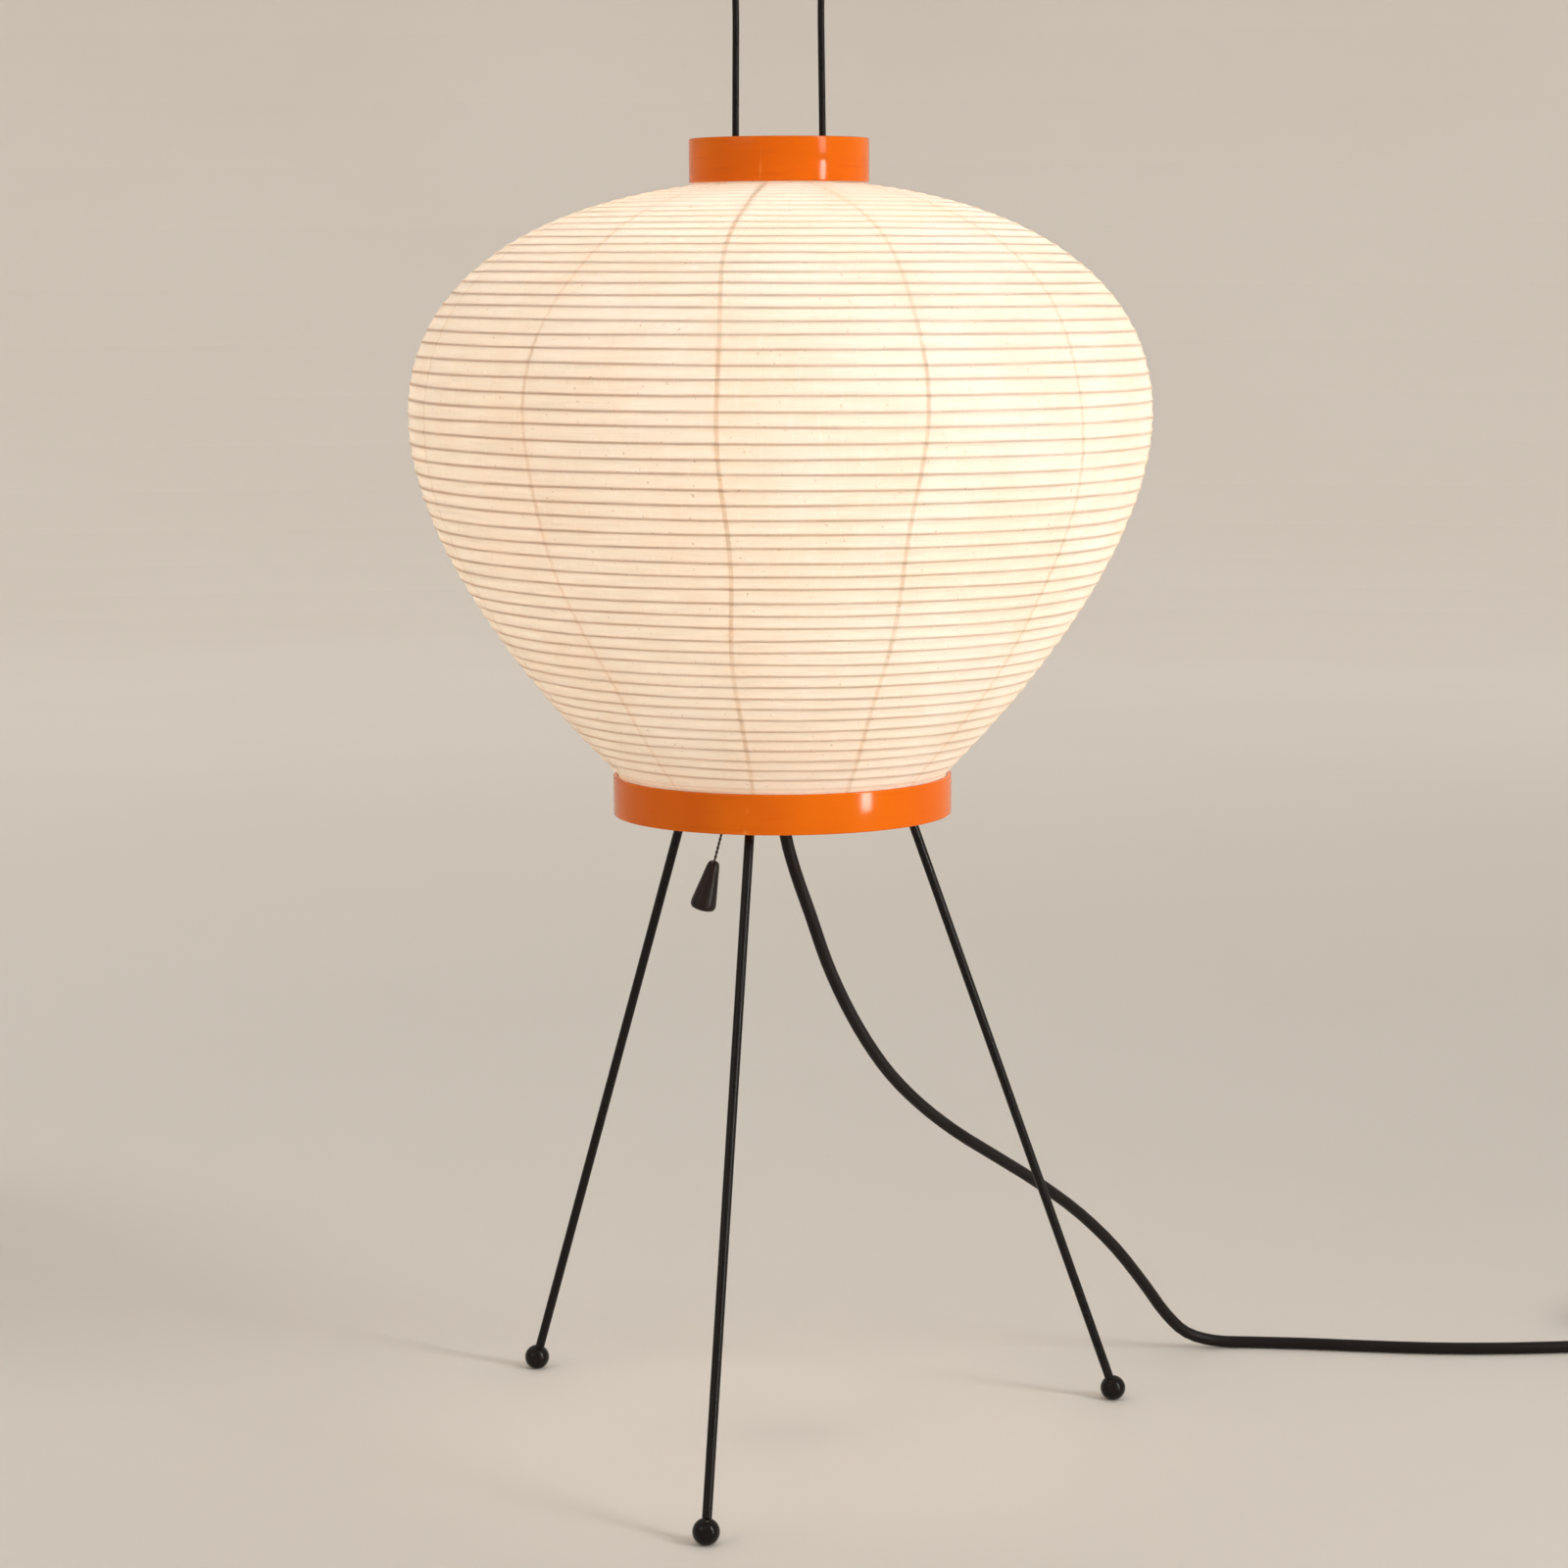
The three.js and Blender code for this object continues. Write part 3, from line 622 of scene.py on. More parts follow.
def radius_of(node):
    """Half of a round node's width."""
    low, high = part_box(node)
    return max(high.x - low.x, high.y - low.y) / 2


def size_of(node):
    """A node's radius and height, in millimetres."""
    low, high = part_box(node)
    return radius_of(node) / MM, (high.z - low.z) / MM


# ---- power cord
CORD_RADIUS = 2.4 * MM
# The stretch from the strain relief to the coil, in millimetres, as in the CAD.
CORD_ROUTE = [
    (0, 0, 268), (0, 0, 257), (0.3, 0.3, 246), (1, 1, 235), (4, 4, 221), (9, 9, 203),
    (14, 15, 184), (20, 21, 167), (27, 28, 151), (35, 37, 136), (45, 48, 122), (57, 60, 109),
    (71, 75, 96), (86, 91, 82), (101, 107, 66), (114, 120, 49), (125, 131, 31), (133, 139, 17),
    (141, 146, 7.5), (152, 151, 3.3), (167, 154, 2.6), (188, 156, 2.6), (214, 157, 2.6),
    (242, 159, 2.6), (270, 164, 2.6), (295, 171, 2.6), (314, 176.6, 2.7), (331.8, 180.6, 3),
]
# The stretch from the coil to the plug.
TAIL_ROUTE = [
    (375.1, 248, 5.6), (373.2, 257, 4.3), (371.4, 266, 4.2), (370, 273.6, 5.4),
    (368.9, 279.6, 6.4), (368.2, 283.6, 6.6), (367.4, 288, 6.6),
]
COIL_TURNS = 6.25  # half in a lower layer winding in, half in an upper one winding out
COIL_ENTRY = -78  # degrees
COIL_STEP = 4.85 * MM  # one turn to the next
COIL_GAP = 0.1 * MM  # from the cord to the box of the CAD's coil
CROSSING = 0.4  # of a turn, over which the cord climbs to the upper layer


def coil_points():
    low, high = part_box("cord_coil")
    centre = (low + high) / 2
    outer = (high.x - low.x) / 2 - CORD_RADIUS - COIL_GAP
    lower = low.z + CORD_RADIUS + COIL_GAP
    half, steps = COIL_TURNS / 2, 24
    points = []
    for k in range(int(COIL_TURNS * steps) + 1):
        turn = k / steps
        r = outer - COIL_STEP * (half - abs(turn - half))
        climb = min(max((turn - half) / CROSSING + 0.5, 0), 1)
        z = lower + 2 * CORD_RADIUS * climb * climb * (3 - 2 * climb)
        a = radians(COIL_ENTRY) + 2 * pi * turn
        points.append((centre.x + r * cos(a), centre.y + r * sin(a), z))
    return points


def make_cord():
    """The whole cord as one curve: down from the sleeve, along the floor, round the coil, to the plug."""
    route, tail = [[tuple(c * MM for c in p) for p in part] for part in (CORD_ROUTE, TAIL_ROUTE)]
    coil = coil_points()
    a = radians(COIL_ENTRY) + 2 * pi * COIL_TURNS
    # one more point, 10 mm straight on from the last turn and slightly lower
    leaving = Vector(coil[-1]) + Vector((-sin(a), cos(a), -0.03)) * 10 * MM
    knots = [*route, *coil, tuple(leaving), *tail]
    return swept(through_points(knots, 3), CORD_RADIUS)


def plug_frame():
    """Where the plug lies: its cord end and its direction, from its CAD pins and body."""
    pins = [rod_ends(f"plug_pin_{side}") for side in ("left", "right")]
    body = node_points("plug_body")
    direction = (pins[0][1] - pins[0][0]).normalized()
    if direction.y < 0:
        direction = -direction
    middle = sum((end for pair in pins for end in pair), Vector()) / 4
    along = [(Vector(p) - middle).dot(direction) for p in body]
    start = middle + direction * min(along)
    across = Vector((direction.y, -direction.x, 0))
    turn = Matrix((across, direction, (0, 0, 1))).transposed().to_4x4()
    return Matrix.Translation(start) @ turn, max(along) - min(along)


PLUG_STATIONS = [  # distance along the plug, half width, half height, in millimetres
    (0, 3.6, 3.6), (0.4, 4.2, 4.2), (2.2, 4.3, 4.3), (2.6, 3.7, 3.7), (3.6, 3.7, 3.7), (4.0, 4.6, 4.5),
    (5.8, 4.7, 4.6), (6.2, 4.0, 4.0), (7.2, 4.0, 4.0), (7.6, 5.0, 4.8), (9.4, 5.2, 5.0), (12, 6.2, 5.3),
    (15, 9.4, 5.7), (18, 13.2, 6.1), (21, 15.8, 6.3), (24, 16.8, 6.4), (27.5, 17, 6.45), (28, 16.5, 6.1),
    (29, 16.5, 6.1), (29.5, 17, 6.45), (34.8, 17, 6.45), (35.7, 16.5, 6.0), (36, 15.8, 5.4),
]
PIN_RADIUS = 1.95 * MM
PIN_TIP = 1.6 * MM  # how far back a pin's end is tapered
PIN_TAPER = 0.35  # of its radius, lost at the tip
SLEEVE_RADIUS = 2.05 * MM
SLEEVE_SPAN = (3, 13)  # where the sleeve runs along a pin, in millimetres from its root


def plug_mesh(length):
    """A flat two-pin plug, lofted along +Y: a ridged round sleeve that widens to a flat body."""
    sides = 40
    vertices = []
    for along, wide, tall in PLUG_STATIONS:
        power = 2 + 3.5 * min(max((along - 9) / 12, 0), 1)
        for c, s in circle(sides):
            x = copysign(abs(c) ** (2 / power), c) * wide
            z = copysign(abs(s) ** (2 / power), s) * tall
            vertices.append((x * MM, length * along / PLUG_STATIONS[-1][0], z * MM))
    return solid(vertices, skin_faces(len(PLUG_STATIONS), sides))


def make_plug():
    place, length = plug_frame()
    body = plug_mesh(length)
    body.transform(place)
    made = [piece("plug", body, "plug_black", ["plug_body"], smooth=50)]
    for side in ("left", "right"):
        low, high = sorted(rod_ends(f"plug_pin_{side}"), key=lambda p: p.y)
        ahead = (high - low).normalized()
        shoulder = high - ahead * PIN_TIP
        pin = tube_mesh([low, shoulder, high], PIN_RADIUS, 28)
        for v in pin.vertices:
            past = (v.co - shoulder).dot(ahead)
            if past > 0:
                axis = shoulder + ahead * past
                v.co = axis + (v.co - axis) * (1 - PIN_TAPER * past / PIN_TIP)
        made.append(piece(f"pin_{side}", pin, "nickel", [f"plug_pin_{side}"]))
        ends = [low + ahead * far * MM for far in SLEEVE_SPAN]
        made.append(piece(f"pin_sleeve_{side}", tube_mesh(ends, SLEEVE_RADIUS, 28), "plug_black"))
    return made


LEAD_RADIUS = 2.1 * MM
RELIEF_FLANGE = 279.7 * MM  # height of the flange that holds the sleeve in the can's floor


def strain_relief_mesh():
    """A tapered sleeve with moulded grooves, from the can's floor down to the cord's exit."""
    base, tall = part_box("strain_relief")[0].z, size_of("strain_relief")[1]
    bore, flange = CORD_RADIUS / MM, (RELIEF_FLANGE - base) / MM
    outline = [(bore, tall), (4.2, tall), (4.2, flange + 2), (6.4, flange + 2), (6.4, flange), (4.3, flange)]
    for k in range(5):
        top, r = flange * (0.88 - 0.15 * k), 4.2 - 0.14 * k
        outline += [(r, top), (r - 0.5, top - 0.3), (r - 0.5, top - 1.1), (r - 0.08, top - 1.4)]
    return turned([*outline, (3.3, 0), (bore, 0)], base, sides=40, edge=0.12, closed=True)


TIE_WIDTH = 7 * MM
TIE_THICK = 0.6 * MM
TIE_CORNER = 3.7 * MM  # radius of its bends, half way through its thickness
TIE_LAP = 4.6 * MM  # each side of the middle of the top, where its two ends overlap


def strap_path(half_long, half_tall):
    """Once round a rounded rectangle from its top, then on over the start to make the lap."""
    across, up = half_long - TIE_CORNER, half_tall - TIE_CORNER
    points = [Vector((-TIE_LAP, 0, half_tall)), Vector((TIE_LAP, 0, half_tall))]
    for turn, (x, z) in enumerate(((across, up), (across, -up), (-across, -up), (-across, up))):
        for k in range(9):
            a = radians(90 - 90 * turn - 90 * k / 8)
            points.append(Vector((x + TIE_CORNER * cos(a), 0, z + TIE_CORNER * sin(a))))
    lap = half_tall + TIE_THICK + 0.05 * MM
    return [*points, Vector((-TIE_LAP, 0, lap)), Vector((TIE_LAP, 0, lap))]


def tie_mesh():
    """A flat strap wound once round the turns, its end lapped and pressed down on top."""
    low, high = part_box("cord_tie")
    middle = (low + high) / 2
    inward = centre_of("cord_coil") - middle
    out = -Vector((inward.x, inward.y, 0)).normalized()
    reach = [abs((Vector(p) - middle).dot(out)) for p in node_points("cord_tie")]
    path = strap_path(max(reach) - TIE_THICK / 2, (high.z - low.z - TIE_THICK) / 2)
    wide, thick, soft = TIE_WIDTH / 2, TIE_THICK / 2, 0.16 * MM
    section = [(wide, thick - soft), (wide - soft, thick), (soft - wide, thick), (-wide, thick - soft),
               (-wide, soft - thick), (soft - wide, -thick), (wide - soft, -thick), (wide, soft - thick)]
    vertices = []
    for i, where in enumerate(path):
        ahead = heading(path, i)
        face = Vector((-ahead.z, 0, ahead.x))
        vertices += [where + Vector((0, side, 0)) + face * rise for side, rise in section]
    mesh = solid(vertices, skin_faces(len(path), len(section)))
    turn = Matrix((out, Vector((-out.y, out.x, 0)), Vector((0, 0, 1)))).transposed().to_4x4()
    mesh.transform(Matrix.Translation(middle) @ turn)
    return mesh


def make_cords():
    solids = ["power_cord", "power_cord_tail", "cord_coil"]
    cord = piece("power_cord_flex", make_cord(), "black_cord", solids)
    plug = make_plug()
    tie = piece("coil_tie", tie_mesh(), "cord_tie_black", ["cord_tie"], smooth=50)
    piece("cord_sleeve", strain_relief_mesh(), "black_rubber", ["strain_relief"], smooth=50)
    lead = tube_mesh(rod_ends("inner_lead"), LEAD_RADIUS)
    piece("lead_to_holder", lead, "black_cord", ["inner_lead"])


# ---- shade
RIB_PITCH = 5.45 * MM  # along the paper
RIB_RADIUS = 0.45 * MM
RIB_FLATNESS = 0.75  # its thickness over its width
STRIPS = 12  # paper strips round the shade
STRIP_COLUMNS = 12  # faces across one strip between its laps
SEAM_AT = 0.08  # of a strip: brings one seam just left of the view's middle
LAP = 1.6 * MM  # how far each strip covers the edge of the one before
LAP_STEP = 0.13 * MM  # how far its edge stands out there
PAPER_TUCK = 4.5 * MM  # how far the paper runs inside a ring
PAPER_SAG = 0.42 * MM  # how far the paper sinks between two ribs
RING_WALLS = {"top_ring": 1.5 * MM, "bottom_ring": 1.8 * MM}
WIDEST_Z = 0.396
WIDEST_R = 0.140
RING_GAP = 0.3 * MM  # between the paper and each ring
TOP_HANDLE = (61 * MM, -7.5 * MM)  # how far out and up the outline's curve is drawn from the top
WIDEST_HANDLE = 50 * MM  # and how far up and down from its widest place
LOW_HANDLE = 28 * MM  # and how far out and up from the bottom
PUCKER = 0.10 * MM  # small waves along the ribs, more where the paper is slack
PUCKER_WAVES = 43  # in one turn
SWAYS = ((0.030, 0.23, 2.4), (0.014, 0.085, 4.1))  # of a seam: share of a strip, length, phase per strip
JOINT_AT = radians(100)  # where a ring's ends overlap, round the axis from +X
JOINT_TAPER = radians(14)  # over which the outer end fades into the band
JOINT_STEP = 0.25 * MM


def cubic(*corners, count=240):
    """Points along a cubic curve from its four control points."""
    a, b, c, d = np.array(corners)
    t = np.linspace(0, 1, count)[:, None]
    return (1 - t) ** 3 * a + 3 * (1 - t) ** 2 * t * b + 3 * (1 - t) * t**2 * c + t**3 * d


class Meridian:
    """The paper's outline from the top ring to the bottom ring, read by length along it."""

    def __init__(self):
        top_r, low_r = [radius_of(ring) - wall - RING_GAP for ring, wall in RING_WALLS.items()]
        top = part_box("top_ring")[0].z
        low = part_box("bottom_ring")[1].z
        shoulder = cubic(
            (top_r, top - 2 * RING_GAP), (top_r + TOP_HANDLE[0], top + TOP_HANDLE[1]),
            (WIDEST_R, WIDEST_Z + WIDEST_HANDLE), (WIDEST_R, WIDEST_Z))
        flank = cubic(
            (WIDEST_R, WIDEST_Z), (WIDEST_R, WIDEST_Z - WIDEST_HANDLE),
            (low_r + LOW_HANDLE, low + LOW_HANDLE), (low_r, low + RING_GAP))
        self.points = np.vstack([shoulder, flank[1:]])
        steps = np.linalg.norm(np.diff(self.points, axis=0), axis=1)
        self.lengths = np.concatenate([[0], np.cumsum(steps)])
        self.length = self.lengths[-1]
        self.turns = (self.length - 2 * RIB_PITCH) / RIB_PITCH

    def read(self, s):
        """Radius and height at a length, kept between the outline's ends."""
        return [np.interp(s, self.lengths, column) for column in self.points.T]

    def at(self, s):
        """Radius and height at a length, and the outward normal."""
        s = np.asarray(s, float)
        ahead, behind = self.read(s + 0.2 * MM), self.read(s - 0.2 * MM)
        dr, dz = ahead[0] - behind[0], ahead[1] - behind[1]
        size = np.hypot(dr, dz)
        return *self.read(s), -dz / size, dr / size


def around(r, angle, z):
    """Points at radii, angles and heights."""
    return np.stack([r * np.cos(angle), r * np.sin(angle), z], axis=-1)


def wander(turn):
    """How far the hand-wound strip strays from its even pitch, at a turn counted from the top."""
    # size in millimetres, waves in a turn, phase
    waves = ((0.17, 1.37, 0.4), (0.13, 2.71, 2.1), (0.09, 4.23, 5.0), (0.05, 9.1, 1.3))
    return sum(size * MM * np.sin(2 * np.pi * rate * turn + shift) for size, rate, shift in waves)


def seam_angle(seam, s):
    """Where a seam runs, as a share of a turn. Strips laid by hand are never quite straight."""
    k = seam % STRIPS
    sway = sum(size * np.sin(2 * np.pi * s / length + step * k) for size, length, step in SWAYS)
    return (seam + SEAM_AT + sway) / STRIPS


def strip_grid(meridian, strip, rows, rise):
    """One paper strip: the shares of a turn, the lengths down the meridian and the places of its points."""
    middle = RIB_PITCH * (1 + rows + (strip + SEAM_AT) / STRIPS)
    middle = np.clip(middle, -PAPER_TUCK, meridian.length + PAPER_TUCK)
    lap = LAP / (2 * np.pi * meridian.at(np.clip(middle, 0, meridian.length))[0])
    start, stop = seam_angle(strip, middle), seam_angle(strip + 1, middle)
    body = np.linspace(0, 1, STRIP_COLUMNS + 1)
    inside = (start + lap)[:, None] * (1 - body) + stop[:, None] * body
    turn = np.hstack([start[:, None], inside, (stop + lap)[:, None]])
    whole = np.floor(rows)[:, None] + turn
    share = (rows - np.floor(rows))[:, None]
    s = RIB_PITCH * (1 + rows[:, None] + turn) + (1 - share) * wander(whole) + share * wander(whole + 1)
    s = np.clip(s, -PAPER_TUCK, meridian.length + PAPER_TUCK)
    r, z, nr, nz = meridian.at(np.clip(s, 0, meridian.length))
    z = z - np.minimum(s, 0) - np.maximum(s - meridian.length, 0)
    near_end = np.clip(np.minimum(s, meridian.length - s) / RIB_PITCH, 0, 1)
    pucker = PUCKER * np.sin(turn * 2 * np.pi * PUCKER_WAVES + whole * 1.9)
    out = (rise[:, None] - pucker * rise[:, None] / PAPER_SAG) * near_end
    out[:, :2] += LAP_STEP
    out[:, 2] += LAP_STEP * 0.3
    r, z = r + nr * out, z + nz * out
    return turn, s, around(r, turn * 2 * np.pi, z)


def paper_mesh(meridian):
    """The paper skin: strips from ring to ring, each lapped over the edge of the one before.

    Its rows follow the spiral, so each rib lifts one clean ridge.
    """
    across = np.array([0, 0.07, 0.16, 0.32, 0.5, 0.68, 0.84, 0.93])  # of one pitch
    lift = np.array([0.0, -0.10, -0.34, -0.82, -1.0, -0.82, -0.34, -0.10]) * PAPER_SAG
    turns = int(np.ceil(meridian.turns)) + 4
    rows = np.concatenate([k - 2 + across for k in range(turns)])
    rise = np.tile(lift, turns)
    vertices, faces, ribs, laps = [], [], [], []
    for strip in range(STRIPS):
        turn, s, places = strip_grid(meridian, strip, rows, rise)
        columns = turn.shape[1]
        base = len(vertices)
        vertices += places.reshape(-1, 3).tolist()
        for i in range(len(rows) - 1):
            for c in range(columns - 1):
                corners = [(i, c), (i + 1, c), (i + 1, c + 1), (i, c + 1)]
                spans = [s[k] for k in corners]
                if max(spans) - min(spans) < 1e-7:
                    continue
                faces.append([base + row * columns + column for row, column in corners])
                ribs += [(turn[k], rows[k[0]]) for k in corners]
                laps += [(float(c in (0, columns - 2)), 0.0)] * 4
    mesh = bpy.data.meshes.new("paper_skin")
    mesh.from_pydata(vertices, [], faces)
    for name, values in (("ribs", ribs), ("laps", laps)):
        mesh.uv_layers.new(name=name).data.foreach_set("uv", np.array(values, np.float32).ravel())
    with editing(mesh) as bm:
        bmesh.ops.remove_doubles(bm, verts=bm.verts, dist=TOUCHING)
        loose = [v for v in bm.verts if not v.link_faces]
        bmesh.ops.delete(bm, geom=loose, context="VERTS")
    return mesh


def rib_mesh(meridian):
    """The bamboo strip: one long flattened tube wound just inside the paper's ridges."""
    per_turn, sides = 90, 6
    count = int(meridian.turns * per_turn)
    turn = np.arange(count + 1) / per_turn
    r, z, nr, nz = meridian.at(RIB_PITCH * (1 + turn) + wander(turn))
    vertices = []
    for c, s in circle(sides):
        out = RIB_RADIUS * (RIB_FLATNESS * c - 1)
        down = RIB_RADIUS * s
        vertices.append(around(r + nr * out - nz * down, 2 * np.pi * turn, z + nz * out + nr * down))
    places = np.stack(vertices, axis=1).reshape(-1, 3)
    return solid(places.tolist(), skin_faces(count + 1, sides))


def ring_mesh(node):
    """A bent band with softly rounded rims and the small step of its lap joint at the back."""
    outer, tall = size_of(node)
    inner = outer - RING_WALLS[node] / MM
    outline = [(inner, 0), (outer, 0), (outer, tall), (inner, tall)]
    mesh = turned(outline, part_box(node)[0].z, sides=256, edge=0.55, closed=True)
    for v in mesh.vertices:
        a = (atan2(v.co.y, v.co.x) - JOINT_AT) % (2 * pi)
        step = JOINT_STEP * (min(a / JOINT_TAPER, 1) - 1)
        r = hypot(v.co.x, v.co.y)
        if r > (inner + 0.2) * MM:
            v.co.x *= (r + step) / r
            v.co.y *= (r + step) / r
    return mesh


def make_shade():
    meridian = Meridian()
    skin = piece("paper_skin", paper_mesh(meridian), "washi_paper", ["paper_shade"], smooth=0)
    strip = piece("bamboo_strip", rib_mesh(meridian), "bamboo", ["bamboo_spiral_rib"], smooth=0)
    for soft in (skin, strip):
        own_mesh(soft)
    for band, node, body in (("top_band", "top_ring", "stand"), ("bottom_band", "bottom_ring", "shade_hem")):
        piece(band, ring_mesh(node), "orange_lacquer", [node], body)
    refined_piece("hanging_bar", "shade_bridge", "black_paint", 0.35 * MM)


# ---- stand
WIRE_RADIUS = 1.3 * MM
ROD_RADIUS = 1.8 * MM
BALL_RADIUS = 5  # of a foot, in millimetres
BALL_CENTRE = 4.7  # its height, less than the radius because of the flat underneath
GRUB_RADIUS = 1.5 * MM
STOP_CLEARANCE = 0.15  # between the wire and its stops, in millimetres


def harp_points():
    """The bent wire: hub, round the bulb, through the bar, and over in a loop, in millimetres."""
    side = [
        (20, 316), (20, 325), (22, 332), (36, 348), (38, 356), (38, 400), (38, 440), (35, 450),
        (20.6, 468), (17.2, 475), (16.6, 480), (16.6, 485), (16.6, 490), (16.6, 498), (16.2, 540),
        (15.9, 574),
    ]
    r, top = side[-1]
    loop = [(r * cos(radians(a)), top + r * sin(radians(a))) for a in (30, 60, 90, 120, 150)]
    flat = [*side, *loop, *[(-x, z) for x, z in reversed(side)]]
    return through_points([(x * MM, 0, z * MM) for x, z in flat], 8)


def ball_mesh(node):
    """A turned ball with its small flat underneath."""
    flat = asin(BALL_CENTRE / BALL_RADIUS)
    angles = np.linspace(-flat, pi / 2, 22)[:-1]
    arc = [(BALL_RADIUS * cos(a), BALL_CENTRE + BALL_RADIUS * sin(a)) for a in angles]
    outline = [(0, 0), *arc, (0, BALL_CENTRE + BALL_RADIUS)]
    return turned(outline, centre=centre_of(node), sides=48, edge=0.05)


def make_stand():
    piece("harp_loop", swept(harp_points(), WIRE_RADIUS), "black_paint", ["harp_wire"])
    bore = WIRE_RADIUS / MM + STOP_CLEARANCE
    for side in ("left", "right"):
        node = f"harp_stop_{side}"
        tall = size_of(node)[1]
        outline = [(bore, 0), (3.4, 0), (3.4, tall), (bore, tall)]
        turned_piece(f"wire_stop_{side}", node, "black_paint", outline, centre=centre_of(node),
                     sides=40, edge=0.5, closed=True)
    for name in ("front", "right", "left"):
        low, high = sorted(rod_ends(f"leg_{name}"), key=lambda p: p.z)
        rod = tube_mesh([low, low.lerp(high, 0.5), high], ROD_RADIUS, 32)
        piece(f"rod_{name}", rod, "black_paint", [f"leg_{name}"])
        piece(f"ball_{name}", ball_mesh(f"foot_{name}"), "black_ball", [f"foot_{name}"])
    tall = size_of("stand_hub")[1]
    turned_piece("hub_disc", "stand_hub", "black_paint", [
        (5.3, 0), (17.2, 0), (17.2, 6), (28, 6), (28, tall), (16, tall), (15, tall - 0.8), (9, tall - 0.8),
        (8, tall), (5.3, tall)], sides=96, edge=0.8, closed=True)
    for name in ("leg_front", "leg_right", "leg_left", "harp_right", "harp_left"):
        make_screw(f"grub_{name}", f"grub_screw_{name}", GRUB_RADIUS)
    tall, crests = size_of("threaded_nipple")[1], 31
    thread = [(4.95 if k % 2 else 4.7, tall * k / (2 * crests)) for k in range(2 * crests + 1)]
    turned_piece("nipple", "threaded_nipple", "brass", [(3.4, 0), *thread, (3.4, tall)],
                 sides=48, edge=0.05, closed=True)
    for node in ("hub_nut", "socket_nut"):
        refined_piece(f"{node}_brass", node, "brass", 0.4 * MM)


# ---- lamp holder and bulb
def rolled(low, high, radius):
    """Rounded thread waves from one height to another, as a rolled lamp cap has, in millimetres."""
    crests, steps, depth = 4, 10, 0.7
    count = crests * steps
    return [(radius + depth * 0.5 * (1 - cos(2 * pi * k / steps)), low + (high - low) * k / count)
            for k in range(count + 1)]


BULB_WALL = 0.9 * MM


def make_holder():
    r, tall = size_of("socket_cap")
    turned_piece("holder_cap", "socket_cap", "black_plastic", [
        (5.3, 0), (13, 0), (r, 8), (r, tall - 4), (r - 0.5, tall - 3.6), (r - 0.5, tall - 2.6),
        (r, tall - 2.2), (r, tall), (r - 1.7, tall), (r - 1.7, 9), (12, 1.7), (5.3, 1.7)],
        sides=96, edge=0.5, closed=True)
    tall = size_of("socket_shell")[1]
    outline = [(r - 1.7, 0), (r, 0)]
    for k in range(5):
        z = 6 + 4.5 * k
        outline += [(r, z), (r - 0.5, z + 0.5), (r - 0.5, z + 1.2), (r, z + 1.7)]
    outline += [(r, tall - 2), (r - 0.8, tall), (r - 1.7, tall)]
    turned_piece("holder_shell", "socket_shell", "black_plastic", outline, sides=96, closed=True)
    r, tall = size_of("socket_insulator")
    turned_piece("insulator", "socket_insulator", "ceramic", [
        (3, 0), (r, 0), (r, tall), (11, tall), (10, tall - 1), (6, tall - 1), (5, tall), (3, tall)],
        sides=72, edge=0.5, closed=True)
    tall = size_of("socket_contact")[1]
    turned_piece("contact_spring", "socket_contact", "brass", [
        (0, 0), (4, 0), (3.6, 0.9), (1.6, tall), (0, tall)], sides=40)
    tall = size_of("socket_liner")[1]
    turned_piece("card_sleeve", "socket_liner", "card_liner", [
        (15.1, 0), (17, 0), (17, tall), (15.1, tall)], sides=72, closed=True)
    tall = size_of("screw_shell")[1]
    outline = [*rolled(0, tall, 12.9), *reversed(rolled(0, tall, 13.5))]
    turned_piece("contact_shell", "screw_shell", "brass", outline, sides=72, edge=0.1, closed=True)


def make_bulb():
    tall = size_of("bulb_base")[1]
    turned_piece("bulb_cap", "bulb_base", "nickel", [
        (0, 0), (3.6, 0), (4.2, 0.8), (9, 2), *rolled(2.8, tall - 1, 12.6), (13.3, tall), (0, tall)],
        slot="steel", sides=72, edge=0.15)
    r, tall = size_of("bulb_glass")
    angles = np.linspace(radians(-42), pi / 2, 26)[:-1]
    arc = [(r * cos(a), tall - r + r * sin(a)) for a in angles]
    neck = through_points([(14.2, 0), (14.4, 4), (15.6, 8.5), arc[0]], 5)[:-1]
    glass = turned([*neck, *arc, (0, tall)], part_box("bulb_glass")[0].z, sides=72, edge=0.02)
    bulb = piece("bulb_globe", glass, "opal_glass", ["bulb_glass"], smooth=0)
    wall = bulb.modifiers.new("wall", "SOLIDIFY")
    wall.thickness = BULB_WALL
    wall.offset = -1


# ---- pull switch
CAN_SCREW_RADIUS = 1.2 * MM


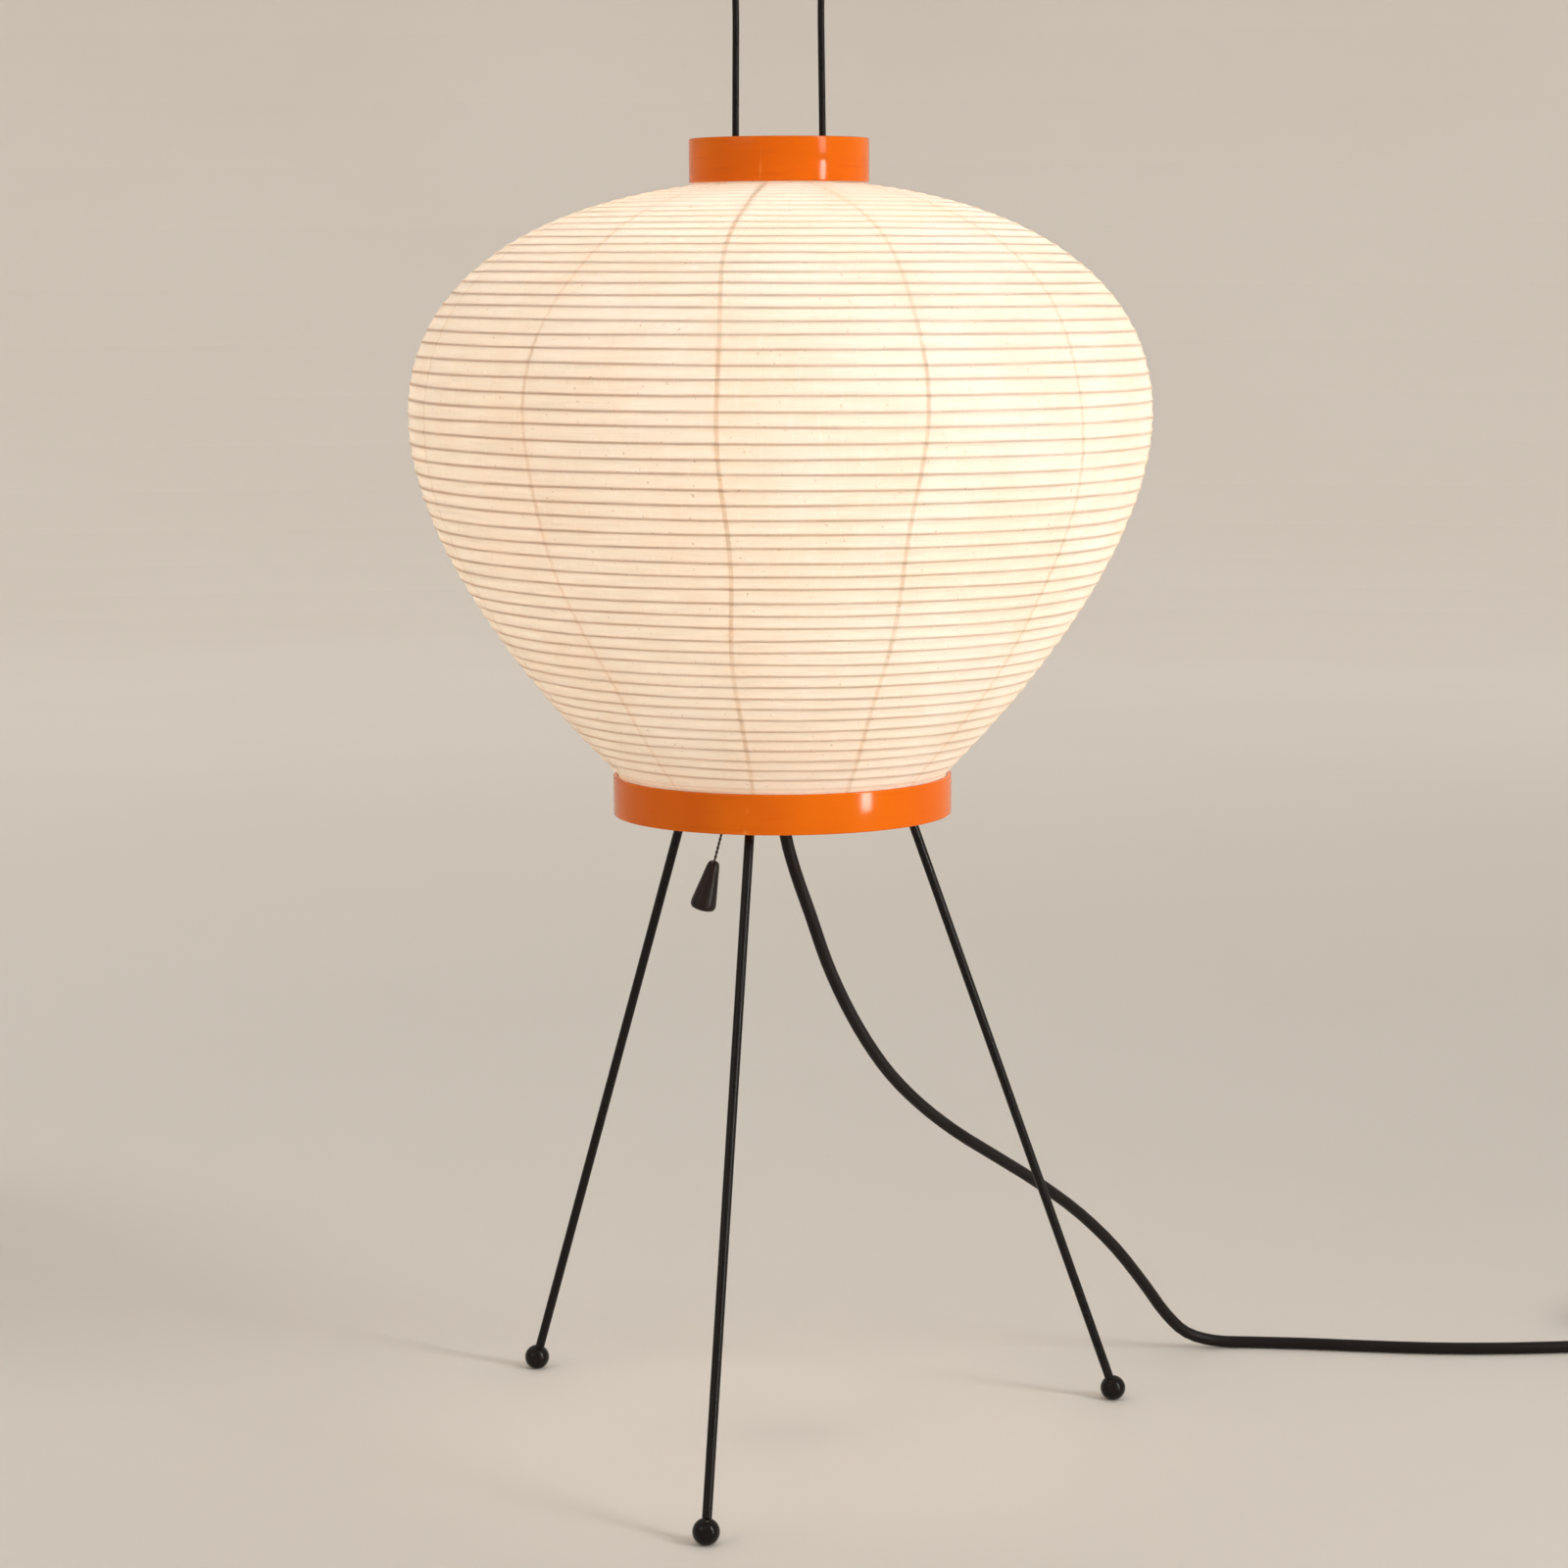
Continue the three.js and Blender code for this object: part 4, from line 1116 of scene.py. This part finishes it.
def make_switch():
    r, tall = size_of("switch_cover")
    turned_piece("switch_can", "switch_cover", "black_plastic", [
        (4.6, 0), (r - 3, 0), (r, 3), (r, 8), (r - 0.4, 8.4), (r - 0.4, 9.2), (r, 9.6), (r, tall),
        (r - 1.7, tall), (r - 1.7, 3.5), (r - 3.7, 1.7), (4.6, 1.7)], sides=96, edge=0.6, closed=True)
    make_screw("can_screw", "switch_cover_screw", CAN_SCREW_RADIUS)
    refined_piece("switch_block", "switch_body", "black_plastic", 0.5 * MM)
    tall = size_of("pull_eyelet")[1]
    turned_piece("bell_mouth", "pull_eyelet", "brass", [
        (1.7, tall), (1.7, 1.8), (2.0, 0.7), (2.9, 0), (4.2, 0.6), (4.2, 4.2), (2.6, 4.3), (2.6, tall)],
        centre=centre_of("pull_eyelet"), edge=0.5, closed=True)
    tall = size_of("switch_plunger")[1]
    turned_piece("pull_rod", "switch_plunger", "brass", [
        (0, 0), (0.7, 0), (1.25, 0.9), (1.25, tall - 3), (0.8, tall - 2.6), (0.8, tall - 1.6),
        (1.25, tall - 1.2), (1.25, tall), (0, tall)], "switch_arm", centre=centre_of("switch_plunger"),
        sides=32, edge=0.15)


STRAND_RADIUS = 0.32 * MM  # of each of the string's two plies
STRAND_OFFSET = 0.24 * MM
STRING_TWISTS = 16
KNOB_SEAT = 0.15 * MM  # from the string's end to the top of the knob
KNOB_OUTLINE = [(0, 0), (1.1, -0.1), (2.0, -0.7), (2.5, -2.2), (3.35, -7.5), (4.2, -12.5), (4.85, -16.4)]


def string_mesh(top, bottom):
    """Two plies twisted round each other."""
    down = (bottom - top).normalized()
    side = down.orthogonal().normalized()
    other = down.cross(side)
    steps, sides = 150, 8
    vertices, faces = [], []
    for ply in range(2):
        faces += skin_faces(steps + 1, sides, len(vertices))
        for i in range(steps + 1):
            a = 2 * pi * STRING_TWISTS * i / steps + pi * ply
            where = top.lerp(bottom, i / steps) + (side * cos(a) + other * sin(a)) * STRAND_OFFSET
            vertices += [where + (side * c + other * s) * STRAND_RADIUS for c, s in circle(sides)]
    return solid(vertices, faces)


def make_pull():
    bottom, top = sorted(rod_ends("pull_string"), key=lambda p: p.z)
    down = (bottom - top).normalized()
    string = piece("twisted_string", string_mesh(top, bottom), "black_string", ["pull_string"],
                   "pull_cord", smooth=60)
    length = max((Vector(p) - bottom).dot(down) for p in node_points("pull_knob")) / MM
    turn = down.to_track_quat("-Z", "Y").to_matrix().to_4x4()
    foot = [(5, 1.9 - length), (4.4, 0.7 - length), (2.6, 0.1 - length), (0, -length)]
    knob = turned([*KNOB_OUTLINE, *foot], edge=0.9)
    knob.transform(Matrix.Translation(bottom + down * KNOB_SEAT) @ turn)
    knob = piece("tapered_knob", knob, "pull_knob_black", ["pull_knob"], "pull_cord")


# ---- stage
def make_floor():
    """A wide pale floor that curves up into a low wall all round."""
    flat, bend, rim = 3500, 2500, 3200
    arc = [(flat + bend * sin(a), bend - bend * cos(a)) for a in np.linspace(0, pi / 2, 25)]
    mesh = turned([(0, 0), (1000, 0), *arc, (flat + bend, rim)], sides=96, edge=1)
    mesh.name = "floor"
    mesh.shade_smooth()
    mesh.materials.append(LOOKS["floor"])
    floor = bpy.data.objects.new("floor", mesh)
    show(floor)


# ---- the lamp
make_camera()
for make_look in (paper_look, bamboo_look, lacquer_look, sheath_look, string_look, knob_look,
                  ceramic_look, card_look, opal_look, floor_look):
    make_look()
black_paint_look("black_paint", "#0f0c0a", 0.30)
black_paint_look("black_ball", "#0f0b09", 0.17)
moulded_look("black_plastic", "#1c1918", 0.42, 900)
moulded_look("black_rubber", "#1a1716", 0.55, 600)
moulded_look("cord_tie_black", "#191717", 0.5, 1200)
moulded_look("plug_black", "#1b1918", 0.48, 700)
metal_look("brass", "#c9a25a", "#8f6c38", 0.24)
metal_look("steel", "#b4b3b0", "#7c7a76", 0.3)
metal_look("nickel", "#d4d1cb", "#a09c94", 0.18)
make_cords()
make_shade()
make_stand()
make_holder()
make_bulb()
make_switch()
make_pull()
make_floor()
make_lights()
bpy.context.scene.view_settings.view_transform = "Standard"
